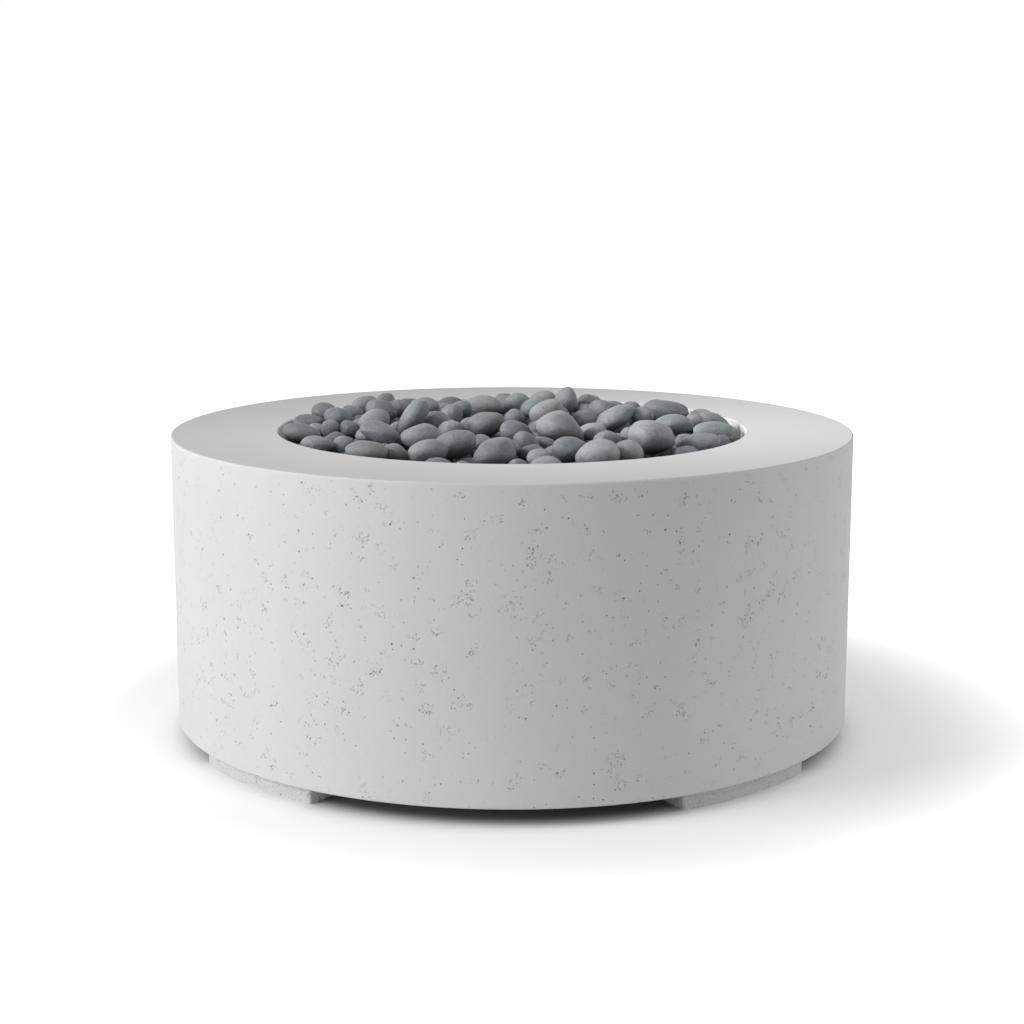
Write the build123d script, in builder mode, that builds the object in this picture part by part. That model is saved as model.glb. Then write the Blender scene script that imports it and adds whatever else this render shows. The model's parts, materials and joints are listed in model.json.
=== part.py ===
from build123d import *
import math
import os
from dataclasses import dataclass

import numpy as np

# A round cast-concrete gas fire pit: a hollow drum on four arc-shaped feet, a steel burner tray on a
# shelf inside the opening, a double-ring burner under a bed of tumbled stones, and a gas control panel
# in a niche at the back. Millimetres, Z up, origin on the floor under the drum's axis, front towards -Y.

# Drum
outer_diameter = 1067.0
body_height = 450.0
drum_wall = 26.0
deck_thickness = 28.0
opening_diameter = 736.0
collar_wall = 26.0
shelf_depth = 62.0
shelf_width = 22.0
shelf_thickness = 24.0
base_lip_width = 100.0
base_lip_thickness = 30.0
arris_radius = 2.5

# Feet, each bolted up into two threaded inserts in the base lip; angles in degrees
foot_height = 27.0
foot_inset = 17.0
foot_width = 70.0
foot_arc = 29.0
foot_corner = 4.0
foot_bolt_arc = 16.0
bolt_diameter = 8.0
bolt_head_diameter = 13.0
bolt_head_height = 8.0
bolt_head_recess = 10.0
bolt_socket = 6.0
bolt_socket_depth = 4.0
bolt_hole_clearance = 0.5
insert_diameter = 13.0
insert_length = 22.0
insert_grip = 18.0

# Fits
thread_gap = 0.05
running_gap = 0.08
seat_gap = 0.1
travel_gap = 0.4

# Burner tray, pressed from sheet
sheet = 2.0
tray_clearance = 3.0
tray_lip = 20.0
tray_bend = 5.0
vent_count = 8
vent_diameter = 12.0

# Burner: two rings, four spokes and a hub
burner_tube = 16.0
burner_tube_wall = 1.5
burner_lift = 10.0
burner_margin = 132.0
ring_spacing = 110.0
spoke_tube = 12.8
spoke_count = 4
port_diameter = 2.4
outer_port_count = 24
inner_port_count = 12
hub_diameter = 60.0
hub_wall = 3.0
hub_floor = 6.0
hub_headroom = 4.0
saddle_count = 4
saddle_width = 14.0
saddle_length = 12.0
saddle_grip = 2.5

# Gas feed under the tray
nipple_diameter = 21.3
nipple_wall = 2.8
nipple_drop = 45.0
locknut_flats = 34.0
locknut_thickness = 8.0
mixer_diameter = 32.0
mixer_length = 95.0
mixer_socket = 18.0
mixer_throat = 16.0
mixer_chamber = 25.0
mixer_chamber_height = 46.0
mixer_base = 6.0
air_port_count = 4
air_port_width = 11.0
air_port_height = 20.0
shutter_wall = 2.5
shutter_margin = 6.0
shutter_screw_diameter = 3.0
shutter_screw_head = 8.0
shutter_screw_head_length = 5.0
orifice_flats = 19.0
orifice_hex_height = 10.0
orifice_spud_diameter = 12.0
orifice_spud_length = 14.0
orifice_bore = 1.8
orifice_feed_bore = 6.0
orifice_tip = 2.0
elbow_diameter = 18.0
elbow_bore = 8.0
elbow_drop = 20.0
elbow_reach = 34.0
hose_diameter = 16.0
hose_bore = 12.0
hose_nut_flats = 24.0
hose_nut_length = 16.0
bend_share = 0.45

# Gas valve, knob and inlet
valve_width = 56.0
valve_height = 48.0
valve_depth = 50.0
valve_corner = 4.0
bonnet_diameter = 18.0
bonnet_reach = 1.5
valve_nut_flats = 24.0
valve_nut_thickness = 4.0
stem_diameter = 8.0
stem_flat = 1.2
stem_inset = 24.5
push_travel = 4.0
push_spring_length = 12.0
push_rod_diameter = 5.0
push_rod_length = 18.0
spring_wire = 0.8
knob_diameter = 40.0
knob_length = 22.0
knob_skirt = 3.0
knob_skirt_overhang = 2.0
knob_scallop_count = 12
knob_scallop_radius = 6.0
knob_scallop_depth = 1.4
knob_cavity_diameter = 32.0
knob_cavity_depth = 7.0
knob_front_wall = 5.0
knob_pointer_width = 2.0
knob_pointer_length = 13.0
knob_pointer_depth = 1.0
knob_screw_diameter = 3.0
outlet_setback = 12.0
outlet_height = 14.0
outlet_bore_depth = 24.0
inlet_drop = 12.0
inlet_bore = 12.0
inlet_reach = 34.0
inlet_body_diameter = 28.0
inlet_body_length = 44.0
inlet_tap_diameter = 18.3
inlet_tap_depth = 16.0
probe_port_across = 16.0
probe_port_up = 13.0

# Spark igniter
igniter_diameter = 18.0
igniter_length = 48.0
igniter_flange_diameter = 26.0
igniter_flange_thickness = 2.5
igniter_nut_flats = 26.0
igniter_nut_thickness = 4.0
button_diameter = 13.0
button_length = 20.0
button_travel = 5.0
button_proud = 1.0
button_spring_length = 10.0
igniter_lead_diameter = 3.2

# Control panel and its niche
control_height = 120.0
control_spacing = 80.0
valve_clearance = 7.0
plate_overlap = 17.0
plate_clearance = 3.0
plate_thickness = 2.0
plate_corner = 9.0
plate_screw_edge = 8.5
plate_screw_diameter = 4.0
plate_screw_head = 8.0
plate_screw_head_height = 2.5
plate_screw_length = 13.0
anchor_diameter = 7.0
anchor_length = 14.0
niche_wall = 18.0
niche_reveal = 21.0

# Pilot: spark electrode and flame probe on a bracket beside the outer ring
pilot_offset = 40.0
pilot_spread = 36.0
bracket_thickness = 1.5
bracket_width = 34.0
hood_width = 66.0
hood_height = 32.0
hood_depth = 30.0
hood_sheet = 1.5
hood_slot_width = 4.0
hood_slot_length = 20.0
hood_slot_pitch = 14.0
hood_slot_count = 3
bracket_screw_land = 13.0
bracket_screw_diameter = 4.0
bracket_screw_head = 7.0
bracket_screw_head_height = 2.5
bracket_nut_flats = 7.0
bracket_nut_thickness = 3.2
insulator_diameter = 8.0
insulator_collar = 13.0
insulator_collar_height = 3.0
insulator_rise = 14.0
insulator_drop = 22.0
electrode_diameter = 2.4
electrode_rise = 6.0
electrode_drop = 6.0
probe_diameter = 6.0
probe_collar = 10.0
probe_collar_height = 5.0
probe_rise = 22.0
probe_drop = 24.0
probe_lead_diameter = 2.6
probe_nut_flats = 9.0
probe_nut_length = 8.0

# Stone bed: lengths are a stone's longest axis, and the bedding's level is measured from the rim
stone_clearance = 0.3
stone_wall_clearance = 1.0
under_stone_length = 76.0
bedding_stone_length = 54.0
small_stone_length = 42.0
stone_length_spread = 0.16
stone_breadth_shares = (0.68, 0.9)
stone_thickness_shares = (0.5, 0.72)
stone_tilt = 13.0
bedding_level = -5.0
bedding_edge_fall = 5.0
bedding_edge_power = 5.0
bedding_rise_right = 0.5
bedding_rise_back = 9.0
under_depth = 4.0
topping_rise = 13.0
shown_sink = 5.0
stone_seed = 42

# How stones come to rest: spots tried for each, how far it may roll, and how finely the burner is felt
spot_count = 60
roll_reach = 9.0
shift_across = 12.0
shift_along = 40.0
across_cost = 0.5
along_cost = 0.17
lift_fall = 0.145
tube_pitch = 5.0
guard_pitch = 12.0

# Levels and radii that follow from the sizes above
outer_r = outer_diameter / 2
opening_r = opening_diameter / 2
rim_z = foot_height + body_height
shelf_z = rim_z - shelf_depth
base_lip_r = outer_r - base_lip_width
foot_outer_r = outer_r - foot_inset
foot_inner_r = foot_outer_r - foot_width
bolt_circle_r = foot_outer_r - foot_width / 2
tray_r = opening_r - tray_clearance
tray_top = shelf_z + sheet
burner_z = tray_top + burner_lift + burner_tube / 2
outer_ring_r = tray_r - burner_margin
inner_ring_r = outer_ring_r - ring_spacing
hub_r = hub_diameter / 2
hub_top = burner_z + burner_tube / 2 + hub_headroom
nipple_r = nipple_diameter / 2
nipple_bottom = shelf_z - nipple_drop
mixer_r = mixer_diameter / 2
mixer_top = nipple_bottom + mixer_socket
mixer_bottom = mixer_top - mixer_length
chamber_bottom = mixer_bottom + mixer_base
air_port_z = chamber_bottom + mixer_chamber_height - air_port_height
shutter_height = air_port_height + 2 * shutter_margin
shutter_bottom = air_port_z - shutter_height / 2
orifice_bottom = mixer_bottom - orifice_hex_height
elbow_z = orifice_bottom - elbow_drop

# Control panel layout, worked outwards from the valve and the knob that it has to hold
window_width = control_spacing + valve_width + 2 * valve_clearance
window_height = valve_height + 2 * valve_clearance
plate_width = window_width + 2 * plate_overlap
plate_height = window_height + 2 * plate_overlap
niche_width = plate_width + 2 * plate_clearance
niche_height = plate_height + 2 * plate_clearance
niche_corner = plate_corner + plate_clearance
knob_standoff = push_travel + travel_gap
niche_depth = plate_thickness + knob_standoff + knob_length + niche_reveal
niche_back_y = outer_r - niche_depth
plate_front_y = niche_back_y + plate_thickness
control_z = foot_height + control_height
knob_x = -control_spacing / 2
igniter_x = control_spacing / 2
valve_rear_y = niche_back_y - valve_depth
outlet_y = valve_rear_y + outlet_setback
bonnet_end_y = plate_front_y + valve_nut_thickness + bonnet_reach
knob_back_y = plate_front_y + knob_standoff
knob_front_y = knob_back_y + knob_length
stem_end_y = niche_back_y - stem_inset
stem_seat_y = stem_end_y - push_spring_length
igniter_rear_y = niche_back_y - igniter_length
igniter_front_y = plate_front_y + igniter_flange_thickness
button_front_y = igniter_front_y + button_travel + button_proud
button_rear_y = button_front_y - button_length
button_seat_y = button_rear_y - button_spring_length
pilot_r = outer_ring_r + pilot_offset
bracket_length = hood_width + 2 * bracket_screw_land
bracket_top = tray_top + bracket_thickness

foot_bearings = {
    "foot_front_right": -45.0,
    "foot_rear_right": 45.0,
    "foot_rear_left": 135.0,
    "foot_front_left": 225.0,
}
spoke_bearings = [45.0 + 360.0 / spoke_count * i for i in range(spoke_count)]


def on_circle(radius, bearing):
    """Point of the plan at a radius and a bearing in degrees from +X."""
    return (radius * math.cos(math.radians(bearing)), radius * math.sin(math.radians(bearing)))


def radial(bearing, radius, height):
    """Plane that faces outwards from the drum's axis."""
    x, y = on_circle(radius, bearing)
    return Plane(origin=(x, y, height), x_dir=(0, 0, 1), z_dir=(*on_circle(1, bearing), 0))


def outward(x, y, z):
    """Plane on the control panel that faces out of the back of the drum."""
    return Plane(origin=(x, y, z), x_dir=(1, 0, 0), z_dir=(0, 1, 0))


def level(x, y, z):
    """Level plane at a point."""
    return Plane(origin=(x, y, z))


bolt_spots = [
    on_circle(bolt_circle_r, bearing + side * foot_bolt_arc / 2)
    for bearing in foot_bearings.values()
    for side in (-1, 1)
]
plate_screw_spots = [
    (across * (plate_width / 2 - plate_screw_edge), up * (plate_height / 2 - plate_screw_edge))
    for across in (-1, 1)
    for up in (-1, 1)
]
electrode_spot = (pilot_spread / 2, pilot_r)
probe_spot = (-pilot_spread / 2, pilot_r)
bracket_screw_spots = [
    (side * (hood_width + bracket_screw_land) / 2, pilot_r) for side in (-1, 1)
]
pieces = {}

# The drum: deck, outer wall, base lip, and the collar round the opening with its shelf
with BuildPart() as niche_surround:
    with BuildSketch(outward(0, niche_back_y - niche_wall, control_z)):
        RectangleRounded(
            niche_width + 2 * niche_wall, niche_height + 2 * niche_wall, niche_corner + niche_wall
        )
    extrude(amount=niche_depth + niche_wall)
    Cylinder(outer_r - drum_wall / 2, 2 * rim_z, mode=Mode.INTERSECT)

with BuildPart() as concrete_shell:
    with BuildSketch(Plane.XZ) as section:
        with BuildLine():
            Polyline(
                (opening_r, rim_z),
                (outer_r, rim_z),
                (outer_r, foot_height),
                (base_lip_r, foot_height),
                (base_lip_r, foot_height + base_lip_thickness),
                (outer_r - drum_wall, foot_height + base_lip_thickness),
                (outer_r - drum_wall, rim_z - deck_thickness),
                (opening_r + collar_wall, rim_z - deck_thickness),
                (opening_r + collar_wall, shelf_z - shelf_thickness),
                (opening_r - shelf_width, shelf_z - shelf_thickness),
                (opening_r - shelf_width, shelf_z),
                (opening_r, shelf_z),
                close=True,
            )
        make_face()
        fillet(section.vertices().group_by(Axis.Y)[-1], radius=arris_radius)
        fillet(section.vertices().group_by(Axis.X)[-1].sort_by(Axis.Y)[0], radius=arris_radius)
    revolve(axis=Axis.Z)
    add(niche_surround.part)
    with BuildSketch(outward(0, niche_back_y, control_z)):
        RectangleRounded(niche_width, niche_height, niche_corner)
    extrude(amount=niche_depth + drum_wall, mode=Mode.SUBTRACT)
    with BuildSketch(outward(0, niche_back_y - niche_wall, control_z)):
        RectangleRounded(window_width, window_height, plate_corner)
    extrude(amount=niche_wall, mode=Mode.SUBTRACT)
    with BuildSketch(outward(0, niche_back_y - anchor_length, control_z)):
        with Locations(*plate_screw_spots):
            Circle(anchor_diameter / 2 + thread_gap)
    extrude(amount=anchor_length, mode=Mode.SUBTRACT)
    with BuildSketch(Plane.XY.offset(foot_height)):
        with Locations(*bolt_spots):
            Circle(insert_diameter / 2 + thread_gap)
    extrude(amount=insert_length, mode=Mode.SUBTRACT)
pieces["concrete_shell"] = concrete_shell.part


def foot(bearing):
    """Arc of concrete with two counterbored holes, drilled from below."""
    start = bearing - foot_arc / 2
    with BuildPart() as block:
        with BuildSketch() as plan:
            with BuildLine():
                outer = CenterArc((0, 0), foot_outer_r, start, foot_arc)
                inner = CenterArc((0, 0), foot_inner_r, start, foot_arc)
                Line(outer @ 0, inner @ 0)
                Line(outer @ 1, inner @ 1)
            make_face()
            fillet(plan.vertices(), radius=foot_corner)
        extrude(amount=foot_height)
        spots = [on_circle(bolt_circle_r, bearing + side * foot_bolt_arc / 2) for side in (-1, 1)]
        with Locations(*[Plane(origin=(x, y, 0), z_dir=(0, 0, -1)) for x, y in spots]):
            CounterBoreHole(
                radius=bolt_diameter / 2 + bolt_hole_clearance,
                counter_bore_radius=bolt_head_diameter / 2 + bolt_hole_clearance,
                counter_bore_depth=bolt_head_recess,
            )
    return block.part


for name, bearing in foot_bearings.items():
    pieces[name] = foot(bearing)

with BuildPart() as foot_inserts:
    with BuildSketch(Plane.XY.offset(foot_height)):
        with Locations(*bolt_spots):
            Circle(insert_diameter / 2)
            Circle(bolt_diameter / 2 + thread_gap, mode=Mode.SUBTRACT)
    extrude(amount=insert_length)
pieces["foot_inserts"] = foot_inserts.part

with BuildPart() as foot_bolts:
    with BuildSketch(Plane.XY.offset(bolt_head_recess - bolt_head_height)):
        with Locations(*bolt_spots):
            Circle(bolt_head_diameter / 2)
    extrude(amount=bolt_head_height)
    with BuildSketch(Plane.XY.offset(bolt_head_recess)):
        with Locations(*bolt_spots):
            Circle(bolt_diameter / 2)
    extrude(amount=foot_height - bolt_head_recess + insert_grip)
    with BuildSketch(Plane.XY.offset(bolt_head_recess - bolt_head_height)):
        with Locations(*bolt_spots):
            RegularPolygon(bolt_socket / 2, 6, major_radius=False)
    extrude(amount=bolt_socket_depth, mode=Mode.SUBTRACT)
pieces["foot_bolts"] = foot_bolts.part

# The tray lies on the shelf, with an upturned lip just inside the opening
with BuildPart() as burner_tray:
    with BuildSketch(Plane.XZ) as section:
        with BuildLine():
            Polyline(
                (nipple_r + travel_gap, shelf_z),
                (tray_r, shelf_z),
                (tray_r, shelf_z + tray_lip),
                (tray_r - sheet, shelf_z + tray_lip),
                (tray_r - sheet, tray_top),
                (nipple_r + travel_gap, tray_top),
                close=True,
            )
        make_face()
        fillet(section.vertices().sort_by_distance((tray_r, shelf_z))[0], radius=tray_bend + sheet)
        fillet(section.vertices().sort_by_distance((tray_r - sheet, tray_top))[0], radius=tray_bend)
    revolve(axis=Axis.Z)
    with BuildSketch(Plane.XY.offset(shelf_z)):
        with PolarLocations(inner_ring_r + ring_spacing / 2, vent_count, 180.0 / vent_count):
            Circle(vent_diameter / 2)
        with Locations(electrode_spot):
            Circle(insulator_diameter / 2 + seat_gap)
        with Locations(probe_spot):
            Circle(probe_diameter / 2 + seat_gap)
        with Locations(*bracket_screw_spots):
            Circle(bracket_screw_diameter / 2 + seat_gap)
    extrude(amount=sheet, mode=Mode.SUBTRACT)
pieces["burner_tray"] = burner_tray.part


def burner_half_ring(ring_r, port_count, inlet_length, side):
    """Half a ring of tube, bent to one side, with gas ports underneath and an inlet at each spoke."""
    with BuildPart() as half:
        with BuildSketch(Plane.XZ):
            with Locations((side * ring_r, burner_z)):
                Circle(burner_tube / 2)
                Circle(burner_tube / 2 - burner_tube_wall, mode=Mode.SUBTRACT)
        revolve(axis=Axis.Z, revolution_arc=180)
        with BuildSketch(Plane.XY.offset(burner_z - burner_tube)):
            with PolarLocations(ring_r, port_count, 180.0 / port_count):
                Circle(port_diameter / 2)
        extrude(amount=burner_tube, mode=Mode.SUBTRACT)
        for bearing in spoke_bearings:
            with BuildSketch(radial(bearing, ring_r - burner_tube / 2 - burner_tube_wall, burner_z)):
                Circle(spoke_tube / 2 - burner_tube_wall)
            extrude(amount=inlet_length, mode=Mode.SUBTRACT)
    return half.part


def burner_ring(ring_r, port_count, inlet_length):
    """Ring of tube welded from two halves; each inlet hole starts just inside the ring."""
    with BuildPart() as ring:
        for side in (1, -1):
            add(burner_half_ring(ring_r, port_count, inlet_length, side))
    return ring.part


one_wall_inlet = burner_tube / 2 + burner_tube_wall
pieces["burner_outer_ring"] = burner_ring(outer_ring_r, outer_port_count, one_wall_inlet)
pieces["burner_inner_ring"] = burner_ring(inner_ring_r, inner_port_count, 2 * one_wall_inlet)

with BuildPart() as burner_spokes:
    for bearing in spoke_bearings:
        for start, end in ((hub_r - hub_wall, inner_ring_r), (inner_ring_r, outer_ring_r)):
            with BuildSketch(radial(bearing, start, burner_z)):
                Circle(spoke_tube / 2)
                Circle(spoke_tube / 2 - burner_tube_wall, mode=Mode.SUBTRACT)
            extrude(amount=end - start)
    with Locations((0, 0, burner_z)):
        Torus(inner_ring_r, burner_tube / 2 + seat_gap, mode=Mode.SUBTRACT)
        Torus(outer_ring_r, burner_tube / 2 + seat_gap, mode=Mode.SUBTRACT)
pieces["burner_spokes"] = burner_spokes.part

with BuildPart() as burner_hub:
    with BuildSketch(Plane.XZ):
        with BuildLine():
            Polyline(
                (nipple_r + thread_gap, tray_top),
                (hub_r, tray_top),
                (hub_r, hub_top),
                (0, hub_top),
                (0, hub_top - hub_wall),
                (hub_r - hub_wall, hub_top - hub_wall),
                (hub_r - hub_wall, tray_top + hub_floor),
                (nipple_r + thread_gap, tray_top + hub_floor),
                close=True,
            )
        make_face()
    revolve(axis=Axis.Z)
    for bearing in spoke_bearings:
        with BuildSketch(radial(bearing, hub_r / 2, burner_z)):
            Circle(spoke_tube / 2 + thread_gap)
        extrude(amount=hub_r, mode=Mode.SUBTRACT)
pieces["burner_hub"] = burner_hub.part

with BuildPart() as burner_saddles:
    with BuildSketch(Plane.XY.offset(tray_top)):
        with PolarLocations(outer_ring_r, saddle_count):
            Rectangle(saddle_width, saddle_length)
    extrude(amount=burner_lift + saddle_grip)
    with Locations((0, 0, burner_z)):
        Torus(outer_ring_r, burner_tube / 2 + seat_gap, mode=Mode.SUBTRACT)
pieces["burner_saddles"] = burner_saddles.part

# Gas feed below the tray: nipple, locknut, air mixer with its shutter, orifice and elbow
with BuildPart() as gas_nipple:
    with BuildSketch(Plane.XY.offset(nipple_bottom)):
        Circle(nipple_r)
        Circle(nipple_r - nipple_wall, mode=Mode.SUBTRACT)
    extrude(amount=tray_top + hub_floor - nipple_bottom)
pieces["gas_nipple"] = gas_nipple.part

with BuildPart() as nipple_locknut:
    with BuildSketch(Plane.XY.offset(shelf_z - locknut_thickness)):
        RegularPolygon(locknut_flats / 2, 6, major_radius=False)
        Circle(nipple_r + thread_gap, mode=Mode.SUBTRACT)
    extrude(amount=locknut_thickness)
pieces["nipple_locknut"] = nipple_locknut.part

with BuildPart() as air_ports:
    for i in range(air_port_count):
        with BuildSketch(radial(360.0 / air_port_count * i, mixer_throat / 2, air_port_z)):
            Rectangle(air_port_height, air_port_width)
        extrude(amount=mixer_diameter)

with BuildPart() as air_mixer:
    with BuildSketch(Plane.XZ):
        with BuildLine():
            Polyline(
                (orifice_spud_diameter / 2 + thread_gap, mixer_bottom),
                (mixer_r + shutter_wall, mixer_bottom),
                (mixer_r + shutter_wall, shutter_bottom),
                (mixer_r, shutter_bottom),
                (mixer_r, mixer_top),
                (nipple_r + thread_gap, mixer_top),
                (nipple_r + thread_gap, nipple_bottom),
                (mixer_throat / 2, nipple_bottom),
                (mixer_throat / 2, chamber_bottom + mixer_chamber_height),
                (mixer_chamber / 2, chamber_bottom + mixer_chamber_height),
                (mixer_chamber / 2, chamber_bottom),
                (orifice_spud_diameter / 2 + thread_gap, chamber_bottom),
                close=True,
            )
        make_face()
    revolve(axis=Axis.Z)
    add(air_ports.part, mode=Mode.SUBTRACT)
pieces["air_mixer"] = air_mixer.part

shutter_screw_bearing = 180.0 / air_port_count
with BuildPart() as air_shutter:
    with BuildSketch(Plane.XY.offset(shutter_bottom + seat_gap)):
        Circle(mixer_r + shutter_wall)
        Circle(mixer_r + running_gap, mode=Mode.SUBTRACT)
    extrude(amount=shutter_height)
    add(air_ports.part, mode=Mode.SUBTRACT)
    with BuildSketch(radial(shutter_screw_bearing, 0, air_port_z)):
        Circle(shutter_screw_diameter / 2 + thread_gap)
    extrude(amount=mixer_diameter, mode=Mode.SUBTRACT)
pieces["air_shutter"] = air_shutter.part

with BuildPart() as shutter_screw:
    with BuildSketch(radial(shutter_screw_bearing, mixer_r + travel_gap, air_port_z)):
        Circle(shutter_screw_diameter / 2)
    extrude(amount=shutter_wall)
    with BuildSketch(radial(shutter_screw_bearing, mixer_r + travel_gap + shutter_wall, air_port_z)):
        Circle(shutter_screw_head / 2)
    extrude(amount=shutter_screw_head_length)
pieces["shutter_screw"] = shutter_screw.part

with BuildPart() as gas_orifice:
    with BuildSketch(Plane.XY.offset(orifice_bottom)):
        RegularPolygon(orifice_flats / 2, 6, major_radius=False)
    extrude(amount=orifice_hex_height)
    with BuildSketch(Plane.XY.offset(mixer_bottom)):
        Circle(orifice_spud_diameter / 2)
    extrude(amount=orifice_spud_length)
    with BuildSketch(Plane.XY.offset(orifice_bottom)):
        Circle(orifice_feed_bore / 2)
    extrude(
        amount=orifice_hex_height + orifice_spud_length - orifice_tip,
        mode=Mode.SUBTRACT,
    )
    with BuildSketch(Plane.XY.offset(mixer_bottom)):
        Circle(orifice_bore / 2)
    extrude(amount=orifice_spud_length, mode=Mode.SUBTRACT)
pieces["gas_orifice"] = gas_orifice.part

with BuildPart() as feed_elbow:
    for diameter, mode in ((elbow_diameter, Mode.ADD), (elbow_bore, Mode.SUBTRACT)):
        with BuildSketch(level(0, 0, elbow_z)):
            Circle(diameter / 2)
        extrude(amount=elbow_drop, mode=mode)
        with BuildSketch(outward(0, 0, elbow_z)):
            Circle(diameter / 2)
        extrude(amount=elbow_reach, mode=mode)
        with Locations((0, 0, elbow_z)):
            Sphere(diameter / 2, mode=mode)
pieces["feed_elbow"] = feed_elbow.part


def hose_nut(plane):
    """Flare nut: half of its length grips the fitting, the other half the hose."""
    with BuildPart() as nut:
        with BuildSketch(plane.offset(-hose_nut_length / 2)):
            RegularPolygon(hose_nut_flats / 2, 6, major_radius=False)
            Circle(elbow_diameter / 2 + thread_gap, mode=Mode.SUBTRACT)
        extrude(amount=hose_nut_length / 2)
        with BuildSketch(plane):
            RegularPolygon(hose_nut_flats / 2, 6, major_radius=False)
            Circle(hose_diameter / 2 + thread_gap, mode=Mode.SUBTRACT)
        extrude(amount=hose_nut_length / 2)
    return nut.part


outlet_top = control_z + valve_height / 2 + outlet_height
pieces["hose_nut_valve"] = hose_nut(level(knob_x, outlet_y, outlet_top))
pieces["hose_nut_burner"] = hose_nut(outward(0, elbow_reach, elbow_z))


def bend_radii(points):
    """Widest arc at each corner: its share of the shorter run over the tangent of half the turn."""
    radii = []
    for before, corner, after in zip(points, points[1:], points[2:]):
        run_in = Vector(*corner) - Vector(*before)
        run_out = Vector(*after) - Vector(*corner)
        half_turn = math.radians(run_in.get_angle(run_out)) / 2
        radii.append(bend_share * min(run_in.length, run_out.length) / math.tan(half_turn))
    return radii


def tube_along(points, diameter, bore=0.0):
    """Round tube along straight runs joined by tangent arcs."""
    with BuildPart() as tube:
        with BuildLine() as route:
            FilletPolyline(*points, radius=bend_radii(points))
        with BuildSketch(Plane(origin=route.line @ 0, z_dir=route.line % 0)):
            Circle(diameter / 2)
            if bore:
                Circle(bore / 2, mode=Mode.SUBTRACT)
        sweep()
    return tube.part


# The hose leaves the valve upwards and swings over to the elbow under the burner
hose_route = [
    (knob_x, outlet_y, outlet_top),
    (knob_x, outlet_y, outlet_top + 75),
    (knob_x - 8, outlet_y - 35, outlet_top + 135),
    (knob_x - 18, outlet_y - 100, outlet_top + 155),
    (knob_x - 16, (outlet_y + elbow_reach) / 2 + 40, elbow_z + 45),
    (-14, elbow_reach + 95, elbow_z + 8),
    (0, elbow_reach + 40, elbow_z),
    (0, elbow_reach, elbow_z),
]
pieces["gas_hose"] = tube_along(hose_route, hose_diameter, hose_bore)

# Control panel on the back wall of the niche
with BuildPart() as control_plate:
    with BuildSketch(outward(0, niche_back_y, control_z)):
        RectangleRounded(plate_width, plate_height, plate_corner)
        with Locations((knob_x, 0)):
            Circle(bonnet_diameter / 2 + seat_gap, mode=Mode.SUBTRACT)
        with Locations((igniter_x, 0)):
            Circle(igniter_diameter / 2 + seat_gap, mode=Mode.SUBTRACT)
        with Locations(*plate_screw_spots):
            Circle(plate_screw_diameter / 2 + seat_gap, mode=Mode.SUBTRACT)
    extrude(amount=plate_thickness)
pieces["control_plate"] = control_plate.part

with BuildPart() as plate_anchors:
    with BuildSketch(outward(0, niche_back_y - anchor_length, control_z)):
        with Locations(*plate_screw_spots):
            Circle(anchor_diameter / 2)
            Circle(plate_screw_diameter / 2 + thread_gap, mode=Mode.SUBTRACT)
    extrude(amount=anchor_length)
pieces["plate_anchors"] = plate_anchors.part

with BuildPart() as plate_screws:
    with BuildSketch(outward(0, plate_front_y - plate_screw_length, control_z)):
        with Locations(*plate_screw_spots):
            Circle(plate_screw_diameter / 2)
    extrude(amount=plate_screw_length)
    with BuildSketch(outward(0, plate_front_y, control_z)):
        with Locations(*plate_screw_spots):
            Circle(plate_screw_head / 2)
    extrude(amount=plate_screw_head_height)
    fillet(plate_screws.edges().group_by(Axis.Y)[-1], radius=plate_screw_head_height / 2)
pieces["plate_screws"] = plate_screws.part

# Gas valve: block, bonnet through the plate, outlet on top, inlet and probe ports at the rear
rod_front_y = stem_end_y - seat_gap
rod_rear_y = rod_front_y - push_rod_length
with BuildPart() as gas_valve:
    with BuildSketch(outward(knob_x, valve_rear_y, control_z)):
        RectangleRounded(valve_width, valve_height, valve_corner)
    extrude(amount=valve_depth)
    with BuildSketch(outward(knob_x, niche_back_y, control_z)):
        Circle(bonnet_diameter / 2)
    extrude(amount=bonnet_end_y - niche_back_y)
    with BuildSketch(level(knob_x, outlet_y, control_z + valve_height / 2)):
        Circle(elbow_diameter / 2)
    extrude(amount=outlet_height)
    with BuildSketch(level(knob_x, outlet_y, outlet_top - outlet_bore_depth)):
        Circle(elbow_bore / 2)
    extrude(amount=outlet_bore_depth, mode=Mode.SUBTRACT)
    with BuildSketch(outward(knob_x, stem_seat_y, control_z)):
        Circle(stem_diameter / 2 + running_gap)
    extrude(amount=bonnet_end_y - stem_seat_y, mode=Mode.SUBTRACT)
    with BuildSketch(outward(knob_x, rod_rear_y - push_travel - travel_gap, control_z)):
        Circle(push_rod_diameter / 2 + running_gap)
    extrude(amount=push_rod_length + push_travel, mode=Mode.SUBTRACT)
pieces["gas_valve"] = gas_valve.part

with BuildPart() as valve_nut:
    with BuildSketch(outward(knob_x, plate_front_y, control_z)):
        RegularPolygon(valve_nut_flats / 2, 6, major_radius=False)
        Circle(bonnet_diameter / 2 + thread_gap, mode=Mode.SUBTRACT)
    extrude(amount=valve_nut_thickness)
pieces["valve_nut"] = valve_nut.part

with BuildPart() as push_rod:
    with BuildSketch(outward(knob_x, rod_rear_y, control_z)):
        Circle(push_rod_diameter / 2)
    extrude(amount=push_rod_length)
pieces["push_rod"] = push_rod.part

with BuildPart() as push_spring:
    with BuildSketch(outward(knob_x, stem_seat_y + seat_gap, control_z)):
        Circle(push_rod_diameter / 2 + running_gap + spring_wire)
        Circle(push_rod_diameter / 2 + running_gap, mode=Mode.SUBTRACT)
    extrude(amount=push_spring_length - 2 * seat_gap)
pieces["push_spring"] = push_spring.part

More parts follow.
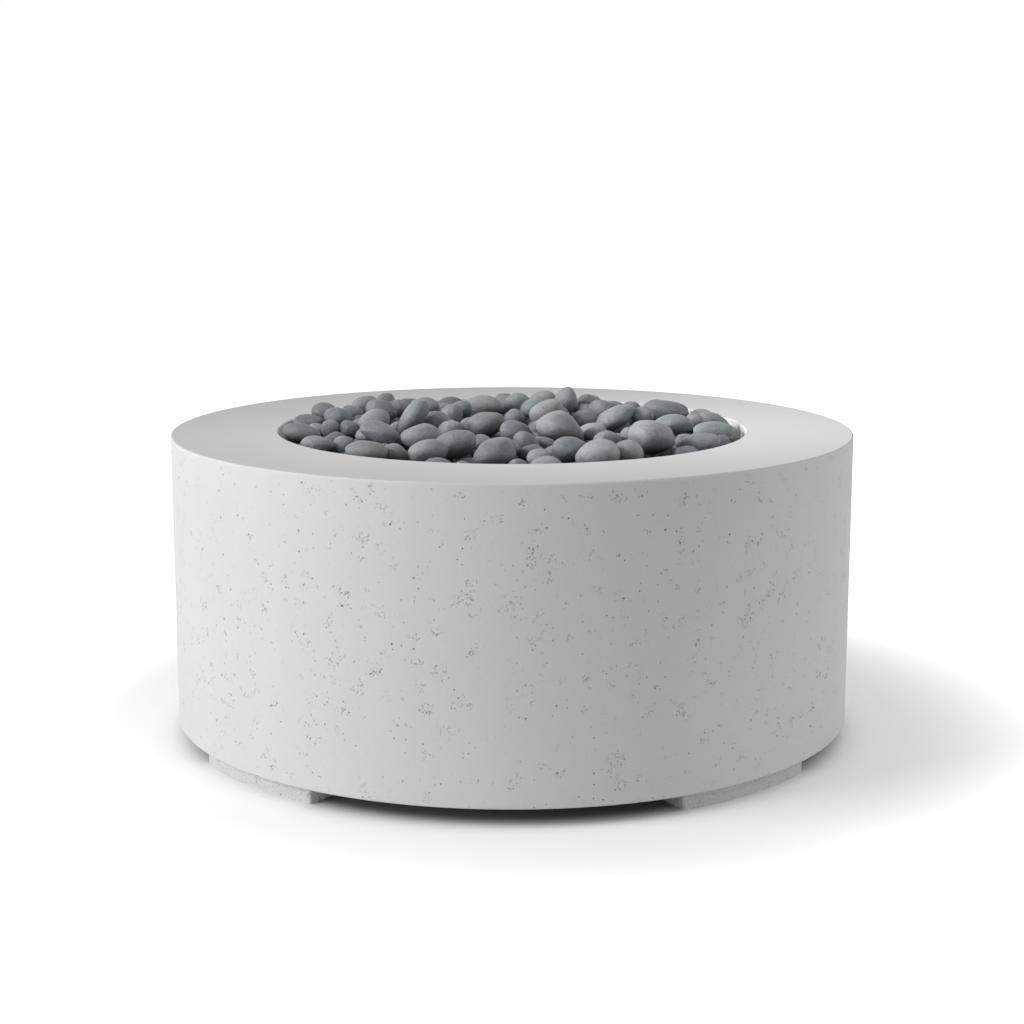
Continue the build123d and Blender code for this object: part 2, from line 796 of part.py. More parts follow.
stem_front_y = knob_front_y - knob_front_wall
with BuildPart() as valve_stem:
    with BuildSketch(outward(knob_x, stem_end_y, control_z)):
        Circle(stem_diameter / 2)
    extrude(amount=stem_front_y - stem_end_y)
    with BuildSketch(outward(knob_x, knob_back_y + knob_cavity_depth, control_z)):
        with Locations((0, -stem_diameter / 2)):
            Rectangle(stem_diameter, 2 * stem_flat)
    extrude(amount=knob_length, mode=Mode.SUBTRACT)
pieces["valve_stem"] = valve_stem.part

with BuildPart() as control_knob:
    with BuildSketch(outward(knob_x, knob_back_y, control_z)):
        Circle(knob_diameter / 2)
        with PolarLocations(
            knob_diameter / 2 + knob_scallop_radius - knob_scallop_depth, knob_scallop_count
        ):
            Circle(knob_scallop_radius, mode=Mode.SUBTRACT)
    extrude(amount=knob_length)
    chamfer(control_knob.edges().group_by(Axis.Y)[-1], length=knob_scallop_depth)
    with BuildSketch(outward(knob_x, knob_back_y, control_z)):
        Circle(knob_diameter / 2 + knob_skirt_overhang)
    extrude(amount=knob_skirt)
    with BuildSketch(outward(knob_x, knob_back_y, control_z)):
        Circle(knob_cavity_diameter / 2)
    extrude(amount=knob_cavity_depth, mode=Mode.SUBTRACT)
    with BuildSketch(outward(knob_x, knob_back_y + knob_cavity_depth, control_z)):
        Circle(stem_diameter / 2 + thread_gap)
        with Locations((0, -stem_diameter / 2)):
            Rectangle(stem_diameter, 2 * (stem_flat - thread_gap), mode=Mode.SUBTRACT)
    extrude(amount=knob_length - knob_cavity_depth - knob_front_wall, mode=Mode.SUBTRACT)
    with BuildSketch(outward(knob_x, knob_front_y - knob_pointer_depth, control_z)):
        with Locations((0, -knob_diameter / 2 + knob_pointer_length / 2)):
            Rectangle(knob_pointer_width, knob_pointer_length)
    extrude(amount=knob_pointer_depth, mode=Mode.SUBTRACT)
    with BuildSketch(level(knob_x, (stem_front_y + knob_back_y + knob_cavity_depth) / 2, control_z)):
        Circle(knob_screw_diameter / 2 + thread_gap)
    extrude(amount=knob_diameter, mode=Mode.SUBTRACT)
pieces["control_knob"] = control_knob.part

with BuildPart() as knob_screw:
    with BuildSketch(
        level(
            knob_x,
            (stem_front_y + knob_back_y + knob_cavity_depth) / 2,
            control_z + stem_diameter / 2 - stem_flat + seat_gap,
        )
    ):
        Circle(knob_screw_diameter / 2)
    extrude(amount=knob_diameter / 2 - stem_diameter / 2 - 2 * knob_scallop_depth)
pieces["knob_screw"] = knob_screw.part

# Inlet: a stub from the valve's rear that turns down into a tapped socket for the supply
inlet_z = control_z - inlet_drop
inlet_y = valve_rear_y - inlet_reach
inlet_mouth_z = inlet_z - inlet_body_length
with BuildPart() as inlet_elbow:
    with BuildSketch(outward(knob_x, inlet_y, inlet_z)):
        Circle(elbow_diameter / 2)
    extrude(amount=inlet_reach)
    with BuildSketch(level(knob_x, inlet_y, inlet_mouth_z)):
        Circle(inlet_body_diameter / 2)
    extrude(amount=inlet_body_length)
    with Locations((knob_x, inlet_y, inlet_z)):
        Sphere(inlet_body_diameter / 2)
    with BuildSketch(outward(knob_x, inlet_y, inlet_z)):
        Circle(inlet_bore / 2)
    extrude(amount=inlet_reach, mode=Mode.SUBTRACT)
    with BuildSketch(level(knob_x, inlet_y, inlet_mouth_z)):
        Circle(inlet_bore / 2)
    extrude(amount=inlet_body_length, mode=Mode.SUBTRACT)
    with BuildSketch(level(knob_x, inlet_y, inlet_mouth_z)):
        Circle(inlet_tap_diameter / 2)
    extrude(amount=inlet_tap_depth, mode=Mode.SUBTRACT)
pieces["inlet_elbow"] = inlet_elbow.part

# Spark igniter: barrel through the plate, nut behind it, and a sprung button
with BuildPart() as igniter_barrel:
    with BuildSketch(outward(igniter_x, igniter_rear_y, control_z)):
        Circle(igniter_diameter / 2)
    extrude(amount=plate_front_y - igniter_rear_y)
    with BuildSketch(outward(igniter_x, plate_front_y, control_z)):
        Circle(igniter_flange_diameter / 2)
    extrude(amount=igniter_flange_thickness)
    chamfer(igniter_barrel.edges().group_by(Axis.Y)[-1], length=igniter_flange_thickness / 2)
    with BuildSketch(outward(igniter_x, button_seat_y, control_z)):
        Circle(button_diameter / 2 + running_gap)
    extrude(amount=igniter_front_y - button_seat_y, mode=Mode.SUBTRACT)
pieces["igniter_barrel"] = igniter_barrel.part

with BuildPart() as igniter_nut:
    with BuildSketch(outward(igniter_x, niche_back_y - igniter_nut_thickness, control_z)):
        RegularPolygon(igniter_nut_flats / 2, 6, major_radius=False)
        Circle(igniter_diameter / 2 + thread_gap, mode=Mode.SUBTRACT)
    extrude(amount=igniter_nut_thickness)
pieces["igniter_nut"] = igniter_nut.part

with BuildPart() as igniter_button:
    with BuildSketch(outward(igniter_x, button_rear_y, control_z)):
        Circle(button_diameter / 2)
    extrude(amount=button_length)
    fillet(igniter_button.edges().group_by(Axis.Y)[-1], radius=button_proud)
pieces["igniter_button"] = igniter_button.part

with BuildPart() as igniter_spring:
    with BuildSketch(outward(igniter_x, button_seat_y + seat_gap, control_z)):
        Circle(button_diameter / 2 - spring_wire)
        Circle(button_diameter / 2 - 2 * spring_wire, mode=Mode.SUBTRACT)
    extrude(amount=button_spring_length - 2 * seat_gap)
pieces["igniter_spring"] = igniter_spring.part

# Pilot bracket on the tray, with its hood, electrode, flame probe and screws
with BuildPart() as pilot_bracket:
    with BuildSketch(Plane.XY.offset(tray_top)):
        with Locations((0, pilot_r)):
            RectangleRounded(bracket_length, bracket_width, bracket_thickness)
        with Locations(electrode_spot):
            Circle(insulator_diameter / 2 + seat_gap, mode=Mode.SUBTRACT)
        with Locations(probe_spot):
            Circle(probe_diameter / 2 + seat_gap, mode=Mode.SUBTRACT)
        with Locations(*bracket_screw_spots):
            Circle(bracket_screw_diameter / 2 + seat_gap, mode=Mode.SUBTRACT)
    extrude(amount=bracket_thickness)
pieces["pilot_bracket"] = pilot_bracket.part

with BuildPart() as pilot_hood:
    with BuildSketch(level(0, pilot_r, bracket_top)):
        Rectangle(hood_width, hood_depth)
    extrude(amount=hood_height)
    with BuildSketch(level(0, pilot_r, bracket_top)):
        Rectangle(hood_width - 2 * hood_sheet, hood_depth)
    extrude(amount=hood_height - hood_sheet, mode=Mode.SUBTRACT)
    with BuildSketch(level(0, pilot_r, bracket_top + hood_height - hood_sheet)):
        with GridLocations(hood_slot_pitch, 0, hood_slot_count, 1):
            SlotOverall(hood_slot_length, hood_slot_width, rotation=90)
    extrude(amount=hood_sheet, mode=Mode.SUBTRACT)
pieces["pilot_hood"] = pilot_hood.part

bracket_screw_bottom = shelf_z - bracket_nut_thickness
with BuildPart() as bracket_screws:
    with BuildSketch(Plane.XY.offset(bracket_screw_bottom)):
        with Locations(*bracket_screw_spots):
            Circle(bracket_screw_diameter / 2)
    extrude(amount=bracket_top - bracket_screw_bottom)
    with BuildSketch(Plane.XY.offset(bracket_top)):
        with Locations(*bracket_screw_spots):
            Circle(bracket_screw_head / 2)
    extrude(amount=bracket_screw_head_height)
pieces["bracket_screws"] = bracket_screws.part

with BuildPart() as bracket_nuts:
    with BuildSketch(Plane.XY.offset(bracket_screw_bottom)):
        with Locations(*bracket_screw_spots):
            RegularPolygon(bracket_nut_flats / 2, 6, major_radius=False)
            Circle(bracket_screw_diameter / 2 + thread_gap, mode=Mode.SUBTRACT)
    extrude(amount=bracket_nut_thickness)
pieces["bracket_nuts"] = bracket_nuts.part

insulator_bottom = shelf_z - insulator_drop
insulator_top = bracket_top + insulator_collar_height + insulator_rise
with BuildPart() as electrode_insulator:
    with BuildSketch(level(*electrode_spot, insulator_bottom)):
        Circle(insulator_diameter / 2)
    extrude(amount=insulator_top - insulator_bottom)
    with BuildSketch(level(*electrode_spot, bracket_top)):
        Circle(insulator_collar / 2)
    extrude(amount=insulator_collar_height)
    with BuildSketch(level(*electrode_spot, insulator_bottom)):
        Circle(electrode_diameter / 2 + thread_gap)
    extrude(amount=insulator_top - insulator_bottom, mode=Mode.SUBTRACT)
pieces["electrode_insulator"] = electrode_insulator.part

electrode_bottom = insulator_bottom - electrode_drop
with BuildPart() as spark_electrode:
    with BuildSketch(level(*electrode_spot, electrode_bottom)):
        Circle(electrode_diameter / 2)
    extrude(amount=insulator_top + electrode_rise - electrode_bottom)
pieces["spark_electrode"] = spark_electrode.part

probe_bottom = shelf_z - probe_drop
with BuildPart() as flame_probe:
    with BuildSketch(level(*probe_spot, probe_bottom)):
        Circle(probe_diameter / 2)
    extrude(amount=bracket_top + probe_rise - probe_bottom)
    with BuildSketch(level(*probe_spot, bracket_top)):
        RegularPolygon(probe_collar / 2, 6, major_radius=False)
    extrude(amount=probe_collar_height)
    fillet(flame_probe.edges().group_by(Axis.Z)[-1], radius=probe_diameter / 4)
pieces["flame_probe"] = flame_probe.part

# Leads from the panel up to the pilot
igniter_lead_route = [
    (igniter_x, igniter_rear_y, control_z),
    (igniter_x, igniter_rear_y - 35, control_z),
    (igniter_x, igniter_rear_y - 70, control_z + 30),
    (igniter_x - 5, igniter_rear_y - 85, control_z + 85),
    (electrode_spot[0] + 8, pilot_r + 35, electrode_bottom - 125),
    (electrode_spot[0] + 2, pilot_r + 6, electrode_bottom - 60),
    (electrode_spot[0], pilot_r, electrode_bottom - 25),
    (electrode_spot[0], pilot_r, electrode_bottom),
]
pieces["igniter_lead"] = tube_along(igniter_lead_route, igniter_lead_diameter)

probe_port = (knob_x + probe_port_across, valve_rear_y, control_z + probe_port_up)
probe_lead_route = [
    probe_port,
    (probe_port[0], probe_port[1] - 30, probe_port[2]),
    (probe_port[0], probe_port[1] - 62, probe_port[2] + 25),
    (probe_port[0], probe_port[1] - 80, probe_port[2] + 70),
    (probe_spot[0] - 6, pilot_r + 36, probe_bottom - 125),
    (probe_spot[0] - 2, pilot_r + 6, probe_bottom - 60),
    (*probe_spot, probe_bottom - 25),
    (*probe_spot, probe_bottom),
]
pieces["probe_lead"] = tube_along(probe_lead_route, probe_lead_diameter)

with BuildPart() as probe_nut:
    with BuildSketch(outward(probe_port[0], probe_port[1] - probe_nut_length, probe_port[2])):
        RegularPolygon(probe_nut_flats / 2, 6, major_radius=False)
        Circle(probe_lead_diameter / 2 + thread_gap, mode=Mode.SUBTRACT)
    extrude(amount=probe_nut_length)
pieces["probe_nut"] = probe_nut.part

for route_name, route in (
    ("gas_hose", hose_route),
    ("igniter_lead", igniter_lead_route),
    ("probe_lead", probe_lead_route),
):
    print(route_name, "bend radii", [round(radius) for radius in bend_radii(route)])


@dataclass(frozen=True)
class Stone:
    """A tumbled stone: an ellipsoid of three half axes along its own directions."""

    half_axes: tuple
    turn: np.ndarray
    centre: np.ndarray
    group: str

    def solid(self):
        """The stone as a solid, where it lies."""
        with BuildPart() as body:
            Sphere(1)
            scale(by=self.half_axes)
        place = Plane(
            origin=tuple(self.centre), x_dir=tuple(self.turn[:, 0]), z_dir=tuple(self.turn[:, 2])
        )
        return body.part.solid().moved(place.location)


@dataclass(frozen=True)
class Course:
    """Stones of about one length, laid until so many in a row don't go in under a level."""

    length: float
    rise: float
    tolerance: float
    patience: int


def turn_matrix(heading, lean, roll):
    """Rotation of a stone: rolled about its length, leant, then turned to its heading; in degrees."""
    h, p, r = (math.radians(angle) for angle in (heading, lean, roll))
    about_z = np.array([[math.cos(h), -math.sin(h), 0], [math.sin(h), math.cos(h), 0], [0, 0, 1]])
    about_y = np.array([[math.cos(p), 0, math.sin(p)], [0, 1, 0], [-math.sin(p), 0, math.cos(p)]])
    about_x = np.array([[1, 0, 0], [0, math.cos(r), -math.sin(r)], [0, math.sin(r), math.cos(r)]])
    return about_z @ about_y @ about_x


class StoneBed:
    """Lays stones one at a time on the tray, the burner's tubes and the stones already there.

    Two ellipsoids with shape matrices A and B and centres a vector r apart are clear of each other when
    s(1 - s) r'[(1 - s)A + sB]^-1 r exceeds 1 for some share s between 0 and 1. For a stone that comes
    straight down, that is a quadratic in its height, so the height at which it lands is found directly.
    Carriers are balls that a stone may rest on; guards are balls that it only has to keep clear of.
    """

    coarse_shares = np.linspace(0.14, 0.86, 7)
    fine_shares = np.linspace(0.02, 0.98, 65)
    wall_bearings = np.radians(np.arange(0, 360, 10))
    roll_pattern = np.array([(0.0, 0.0)] + [on_circle(1, 45.0 * i) for i in range(8)])
    shift_pattern = np.array(
        [
            (x, y)
            for x in np.linspace(-shift_across, shift_across, 5)
            for y in np.linspace(-shift_along, shift_along, 9)
        ]
    )

    def __init__(self, bed_r, floor_z, carriers, guards):
        self.bed_r = bed_r
        self.floor_z = floor_z
        self.centres = [np.array(centre) for centre, _ in guards + carriers]
        self.shapes = [np.eye(3) * radius**2 for _, radius in guards + carriers]
        self.spans = [radius for _, radius in guards + carriers]
        self.guard_count = len(guards)
        self.stones = []

    def inside_wall(self, shape, spots):
        """Those of the spots that keep the stone inside the tray's lip."""
        normals = np.stack([np.cos(self.wall_bearings), np.sin(self.wall_bearings)], axis=1)
        reach = np.sqrt(np.einsum("ni,ij,nj->n", normals, shape[:2, :2], normals))
        return spots[((spots @ normals.T + reach) <= self.bed_r).all(axis=1)]

    def landing(self, shape, spots, shares):
        """Height of the stone's centre when it lands at each spot; infinite where only a guard stops it."""
        centres = np.array(self.centres)
        rise = math.sqrt(shape[2, 2])
        reach = math.sqrt(np.linalg.eigvalsh(shape[:2, :2])[-1])
        offsets = spots[:, None, :] - centres[None, :, :2]
        close = np.hypot(offsets[..., 0], offsets[..., 1]) < reach + np.array(self.spans)
        near = np.flatnonzero(close.any(axis=0))
        lowest = np.full(len(spots), self.floor_z + stone_clearance + rise)
        if not len(near):
            return lowest
        weight = shares[None, :, None, None]
        blend = (1 - weight) * shape + weight * np.array([self.shapes[i] for i in near])[:, None]
        form = np.linalg.inv(blend) * (weight * (1 - weight))
        dx, dy = offsets[:, near, 0, None], offsets[:, near, 1, None]
        square = form[..., 2, 2]
        linear = dx * form[..., 0, 2] + dy * form[..., 1, 2]
        level_part = dx**2 * form[..., 0, 0] + 2 * dx * dy * form[..., 0, 1] + dy**2 * form[..., 1, 1] - 1
        inside = linear**2 - square * level_part
        root = np.sqrt(np.maximum(inside, 0))
        top = ((root - linear) / square).min(axis=2)
        bottom = ((-root - linear) / square).max(axis=2)
        touching = (inside > 0).all(axis=2) & (top > bottom)
        heights = np.where(touching, centres[near, 2] + top, self.floor_z)
        guarded = heights[:, near < self.guard_count].max(axis=1, initial=self.floor_z)
        carried = heights[:, near >= self.guard_count].max(axis=1, initial=self.floor_z)
        return np.where(guarded > np.maximum(lowest, carried), np.inf, np.maximum(lowest, carried))

    def shape_of(self, half_axes, turn):
        """Shape matrix of a stone, grown by half of the clearance between two stones."""
        grown = np.array(half_axes) + stone_clearance / 2
        return turn @ np.diag(grown**2) @ turn.T

    def lay(self, half_axes, turn, spot, group):
        """Drops a stone at a spot and keeps it there, if something carries it."""
        shape = self.shape_of(half_axes, turn)
        height = self.landing(shape, spot[None, :], self.fine_shares)[0]
        if not math.isfinite(height):
            return False
        centre = np.array([spot[0], spot[1], height])
        self.centres.append(centre)
        self.shapes.append(shape)
        self.spans.append(math.sqrt(np.linalg.eigvalsh(shape[:2, :2])[-1]))
        self.stones.append(Stone(tuple(half_axes), turn, centre, group))
        return True

    def settle(self, half_axes, turn, spots, course, group):
        """Lays a stone where it stands lowest against the course's level, unless it stands too high."""
        shape = self.shape_of(half_axes, turn)
        for reach in (None, roll_reach, roll_reach / 3):
            if reach is not None:
                spots = best + reach * self.roll_pattern
            spots = self.inside_wall(shape, spots)
            if not len(spots):
                return False
            tops = self.landing(shape, spots, self.coarse_shares) + math.sqrt(shape[2, 2])
            over = tops - bedding_top(spots) - course.rise
            best = spots[over.argmin()]
        return over.min() <= course.tolerance and self.lay(half_axes, turn, best, group)

    def place(self, half_axes, turn, spot, group):
        """Lays a stone near a spot, where it comes to rest nearest to its level in the bedding there."""
        shape = self.shape_of(half_axes, turn)
        spots = self.inside_wall(shape, spot + self.shift_pattern)
        if not len(spots):
            return False
        height = bedding_top(spot[None, :])[0] - shown_sink + math.sqrt(shape[2, 2])
        across, along = np.abs(spots - spot).T
        wanted = height - lift_fall * (spots - spot)[:, 1]
        miss = np.abs(self.landing(shape, spots, self.coarse_shares) - wanted)
        best = (miss + across_cost * across + along_cost * along).argmin()
        return self.lay(half_axes, turn, spots[best], group)


def bedding_top(spots):
    """Level of the bedding at each spot: a little higher to the right and the back, lower at the edge."""
    x, y = (spots / bed_r).T
    edge = np.hypot(x, y) ** bedding_edge_power
    rise = bedding_rise_right * x + bedding_rise_back * y
    return rim_z + bedding_level - bedding_edge_fall * edge + rise


def spaced(start, end, pitch):
    """Even numbers from start to end, no further apart than the pitch."""
    return np.linspace(start, end, 2 + int((end - start) / pitch))


def tube_balls():
    """Balls along the burner's rings and spokes, which carry stones."""
    balls = []
    ring_ball = math.hypot(burner_tube / 2, tube_pitch / 2)
    for ring_r in (inner_ring_r, outer_ring_r):
        for bearing in spaced(0.0, 360.0, math.degrees(tube_pitch / ring_r)):
            balls.append(((*on_circle(ring_r, bearing), burner_z), ring_ball))
    spoke_ball = math.hypot(spoke_tube / 2, tube_pitch / 2)
    for bearing in spoke_bearings:
        for radius in spaced(hub_r, outer_ring_r, tube_pitch):
            balls.append(((*on_circle(radius, bearing), burner_z), spoke_ball))
    return balls


def guard_balls():
    """Balls that cover the burner's hub and saddles and the pilot, which no stone may enter."""
    hub_mid = (tray_top + hub_top) / 2
    balls = [((0, 0, hub_mid), math.hypot(hub_r, hub_top - hub_mid))]
    saddle_mid = burner_lift / 2
    saddle_ball = math.hypot(saddle_width / 2, saddle_length / 2, saddle_mid + saddle_grip)
    for i in range(saddle_count):
        spot = on_circle(outer_ring_r, 360.0 / saddle_count * i)
        balls.append(((*spot, tray_top + saddle_mid), saddle_ball))
    pilot_ball = guard_pitch * math.sqrt(3) / 2
    for x in spaced(-bracket_length / 2, bracket_length / 2, guard_pitch):
        for y in spaced(-bracket_width / 2, bracket_width / 2, guard_pitch):
            for z in spaced(tray_top, bracket_top + hood_height, guard_pitch):
                balls.append(((x, pilot_r + y, z), pilot_ball))
    return balls


# Breadth and thickness of a stone that stands out, as shares of its length
stone_forms = {"long": (0.6, 0.52), "egg": (0.8, 0.72), "ball": (0.85, 1.0)}

# The stones that stand out, lowest first: each by its place as shares of the bed's radius to the right
# and to the back, its length, its form, the fall of its right end in degrees, and its colour group
shown_stones = [
    (-0.80, -0.50, 50, "long", 5, "stones_ash"),
    (-0.89, -0.20, 58, "long", 5, "stones_ash"),
    (-0.25, -0.88, 40, "long", 0, "stones_ash"),
    (0.05, -0.90, 30, "egg", 0, "stones_ash"),
    (-0.91, 0.08, 52, "long", 5, "stones_slate"),
    (-0.15, -0.87, 25, "egg", 0, "stones_ash"),
    (0.18, -0.87, 45, "long", 0, "stones_pearl"),
    (-0.44, -0.70, 40, "egg", 10, "stones_pearl"),
    (-0.87, 0.37, 42, "egg", 0, "stones_ash"),
    (-0.50, -0.55, 25, "egg", 0, "stones_ash"),
    (-0.75, -0.40, 30, "egg", 0, "stones_ash"),
    (-0.68, -0.48, 35, "egg", -10, "stones_moss"),
    (-0.55, -0.68, 60, "long", 5, "stones_ash"),
    (0.50, -0.70, 45, "egg", 10, "stones_pearl"),
    (-0.30, -0.78, 55, "egg", 0, "stones_pearl"),
    (0.15, -0.77, 35, "egg", 0, "stones_ash"),
    (0.80, -0.42, 60, "long", -10, "stones_pearl"),
    (0.74, -0.35, 30, "egg", -10, "stones_ash"),
    (-0.75, 0.36, 35, "egg", 0, "stones_pearl"),
    (-0.71, 0.52, 45, "egg", -15, "stones_moss"),
    (0.00, -0.62, 45, "egg", 10, "stones_ash"),
    (-0.80, -0.15, 30, "ball", 0, "stones_slate"),
    (0.87, -0.15, 60, "long", -5, "stones_moss"),
    (0.38, -0.77, 62, "egg", -10, "stones_pearl"),
    (-0.73, -0.10, 35, "egg", 30, "stones_slate"),
    (0.88, 0.15, 55, "long", 10, "stones_ash"),
    (0.27, -0.67, 52, "egg", -10, "stones_slate"),
    (-0.80, 0.14, 45, "egg", 0, "stones_slate"),
    (-0.60, -0.30, 35, "egg", 0, "stones_pearl"),
    (-0.63, 0.68, 30, "ball", 0, "stones_ash"),
    (-0.33, 0.70, 45, "long", 0, "stones_umber"),
    (-0.03, -0.80, 60, "egg", -5, "stones_moss"),
    (-0.10, -0.45, 30, "egg", -10, "stones_ash"),
    (-0.20, -0.60, 58, "egg", -5, "stones_ash"),
    (-0.53, -0.42, 60, "long", 20, "stones_slate"),
    (0.80, 0.10, 30, "ball", 0, "stones_pearl"),
    (-0.35, -0.48, 58, "egg", -10, "stones_pearl"),
    (-0.68, 0.00, 33, "egg", 0, "stones_pearl"),
    (0.60, -0.50, 68, "egg", 5, "stones_pearl"),
    (0.10, -0.48, 40, "egg", 30, "stones_moss"),
    (0.42, -0.42, 42, "egg", 0, "stones_pearl"),
    (0.35, -0.22, 30, "egg", -10, "stones_ash"),
    (0.65, -0.15, 32, "egg", 0, "stones_moss"),
    (0.52, 0.60, 35, "egg", 0, "stones_pearl"),
    (-0.60, -0.05, 50, "egg", -15, "stones_umber"),
    (-0.50, -0.12, 35, "egg", -40, "stones_pearl"),
    (0.50, -0.35, 35, "ball", -40, "stones_umber"),
    (-0.60, 0.25, 50, "egg", 15, "stones_umber"),
    (-0.54, 0.38, 45, "egg", 0, "stones_ash"),
    (0.00, 0.20, 30, "ball", -20, "stones_slate"),
    (0.68, 0.33, 70, "long", 10, "stones_ash"),
    (-0.25, -0.17, 42, "egg", -15, "stones_moss"),
    (-0.24, 0.34, 32, "ball", 0, "stones_moss"),
    (0.70, -0.02, 62, "long", -5, "stones_moss"),
    (0.03, -0.26, 48, "egg", 15, "stones_slate"),
    (0.40, 0.35, 48, "egg", 5, "stones_slate"),
    (0.57, 0.12, 35, "ball", 20, "stones_ash"),
    (-0.42, 0.40, 48, "egg", 5, "stones_ash"),
    (-0.18, 0.03, 38, "egg", -20, "stones_moss"),
    (-0.10, -0.15, 55, "egg", -10, "stones_slate"),
    (-0.45, -0.12, 66, "long", -60, "stones_moss"),
    (0.32, 0.12, 42, "egg", 15, "stones_slate"),
    (0.45, 0.05, 68, "long", -25, "stones_moss"),
    (0.22, -0.30, 74, "egg", 20, "stones_umber"),
    (0.08, 0.42, 45, "egg", -20, "stones_moss"),
    (-0.33, -0.05, 46, "egg", -5, "stones_slate"),
    (-0.28, 0.16, 35, "ball", 0, "stones_slate"),
    (-0.17, 0.42, 68, "long", -5, "stones_umber"),
    (0.15, 0.12, 55, "egg", -30, "stones_umber"),
    (0.20, 0.30, 28, "ball", 0, "stones_umber"),
    (0.32, 0.60, 32, "ball", -30, "stones_moss"),
    (0.00, 0.47, 45, "egg", -5, "stones_moss"),
    (0.22, 0.50, 52, "egg", -80, "stones_pearl"),
    (0.12, 0.60, 50, "egg", -15, "stones_ash"),
]

tone_groups = ["stones_slate", "stones_ash", "stones_pearl", "stones_moss", "stones_umber"]
tone_shares = [0.26, 0.26, 0.2, 0.18, 0.1]
under_course = Course(length=under_stone_length, rise=-under_depth, tolerance=5.0, patience=16)
bedding_course = Course(length=bedding_stone_length, rise=0.0, tolerance=5.0, patience=12)
bedding_gap_course = Course(length=small_stone_length, rise=0.0, tolerance=5.0, patience=8)
topping_course = Course(length=small_stone_length, rise=topping_rise, tolerance=3.0, patience=6)
bed_r = tray_r - sheet - stone_wall_clearance
rng = np.random.default_rng(stone_seed)


def random_stone(length):
    """Half axes and rotation of an ordinary stone of about the given length."""
    long = length * (1 + stone_length_spread * rng.uniform(-1, 1))
    broad = long * rng.uniform(*stone_breadth_shares)
    thick = long * rng.uniform(*stone_thickness_shares)
    turn = turn_matrix(rng.uniform(0, 360), rng.normal(0, stone_tilt), rng.normal(0, stone_tilt))
    return (long / 2, broad / 2, thick / 2), turn


def random_spots():
    """Spots spread over the bed."""
    radii = bed_r * np.sqrt(rng.uniform(0, 1, spot_count))
    bearings = rng.uniform(0, 2 * math.pi, spot_count)
    return np.stack([radii * np.cos(bearings), radii * np.sin(bearings)], axis=1)


def fill(bed, course, groups, shares):
    """Lays the stones of one course."""
    misses = 0
    while misses < course.patience:
        half_axes, turn = random_stone(course.length)
        group = str(rng.choice(groups, p=shares))
        laid = bed.settle(half_axes, turn, random_spots(), course, group)
        misses = 0 if laid else misses + 1


bed = StoneBed(bed_r, tray_top, tube_balls(), guard_balls())
fill(bed, under_course, ["stones_under"], [1.0])
fill(bed, bedding_course, tone_groups, tone_shares)
fill(bed, bedding_gap_course, tone_groups, tone_shares)
for right, back, length, form, lean, group in shown_stones:
    half_axes = tuple(length / 2 * share for share in (1.0, *stone_forms[form]))
    bed.place(half_axes, turn_matrix(0, lean, 0), bed_r * np.array([right, back]), group)
fill(bed, topping_course, tone_groups, tone_shares)

for group in ["stones_under", *tone_groups]:
    pieces[group] = Compound(children=[stone.solid() for stone in bed.stones if stone.group == group])
    print(group, len(pieces[group].solids()), "stones")

os.makedirs("parts", exist_ok=True)
for name, piece in pieces.items():
    piece.label = name
    export_step(piece, f"parts/{name}.step")
print(len(pieces), "pieces written")
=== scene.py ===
"""Looks of a round cast-concrete fire pit with a bed of tumbled stones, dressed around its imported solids."""

import json
import logging
import math
from dataclasses import dataclass, field
from enum import Enum
from functools import cache, partialmethod
from typing import Mapping, Protocol, Sequence, Union

import bpy
import numpy as np
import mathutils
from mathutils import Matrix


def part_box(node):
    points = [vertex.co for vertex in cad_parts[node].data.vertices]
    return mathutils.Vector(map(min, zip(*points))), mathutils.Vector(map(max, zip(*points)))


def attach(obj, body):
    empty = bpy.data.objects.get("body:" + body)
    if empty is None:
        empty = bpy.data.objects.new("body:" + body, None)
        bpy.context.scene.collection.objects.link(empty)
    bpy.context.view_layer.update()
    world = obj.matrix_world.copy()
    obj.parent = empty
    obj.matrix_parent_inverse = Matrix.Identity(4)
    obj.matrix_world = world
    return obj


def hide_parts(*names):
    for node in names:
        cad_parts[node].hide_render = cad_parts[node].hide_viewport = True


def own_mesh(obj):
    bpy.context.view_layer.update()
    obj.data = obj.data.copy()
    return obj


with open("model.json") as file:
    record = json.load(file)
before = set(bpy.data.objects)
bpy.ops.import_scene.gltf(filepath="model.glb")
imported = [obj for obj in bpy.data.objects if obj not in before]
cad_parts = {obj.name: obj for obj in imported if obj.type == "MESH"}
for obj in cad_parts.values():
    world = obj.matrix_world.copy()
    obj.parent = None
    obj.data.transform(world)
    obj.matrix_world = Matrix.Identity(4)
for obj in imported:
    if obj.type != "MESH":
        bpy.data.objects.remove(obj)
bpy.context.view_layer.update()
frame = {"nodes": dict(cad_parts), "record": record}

log = logging.getLogger("fire_pit")

Vector = tuple[float, float, float]
Colour = Vector
Range = tuple[float, float]
Material = bpy.types.Material
Value = Union[float, Sequence[float], "Socket"]

RIM_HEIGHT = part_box("concrete_shell")[1].z
PIT_BODY = "fire_pit"
MM = 0.001
TURN = 2 * math.pi
MERGE_DIGITS = 6
WHITE: Colour = (1.0, 1.0, 1.0)
NO_STRETCH: Vector = (1.0, 1.0, 1.0)
NO_SHIFT: Vector = (0.0, 0.0, 0.0)


class Axis(Enum):
    """Axes of the frame as unit vectors."""

    X = (1.0, 0.0, 0.0)
    Y = (0.0, 1.0, 0.0)


class Stiffness(Enum):
    """How a hose or lead bends."""

    MEDIUM = "medium"
    STIFF = "stiff"


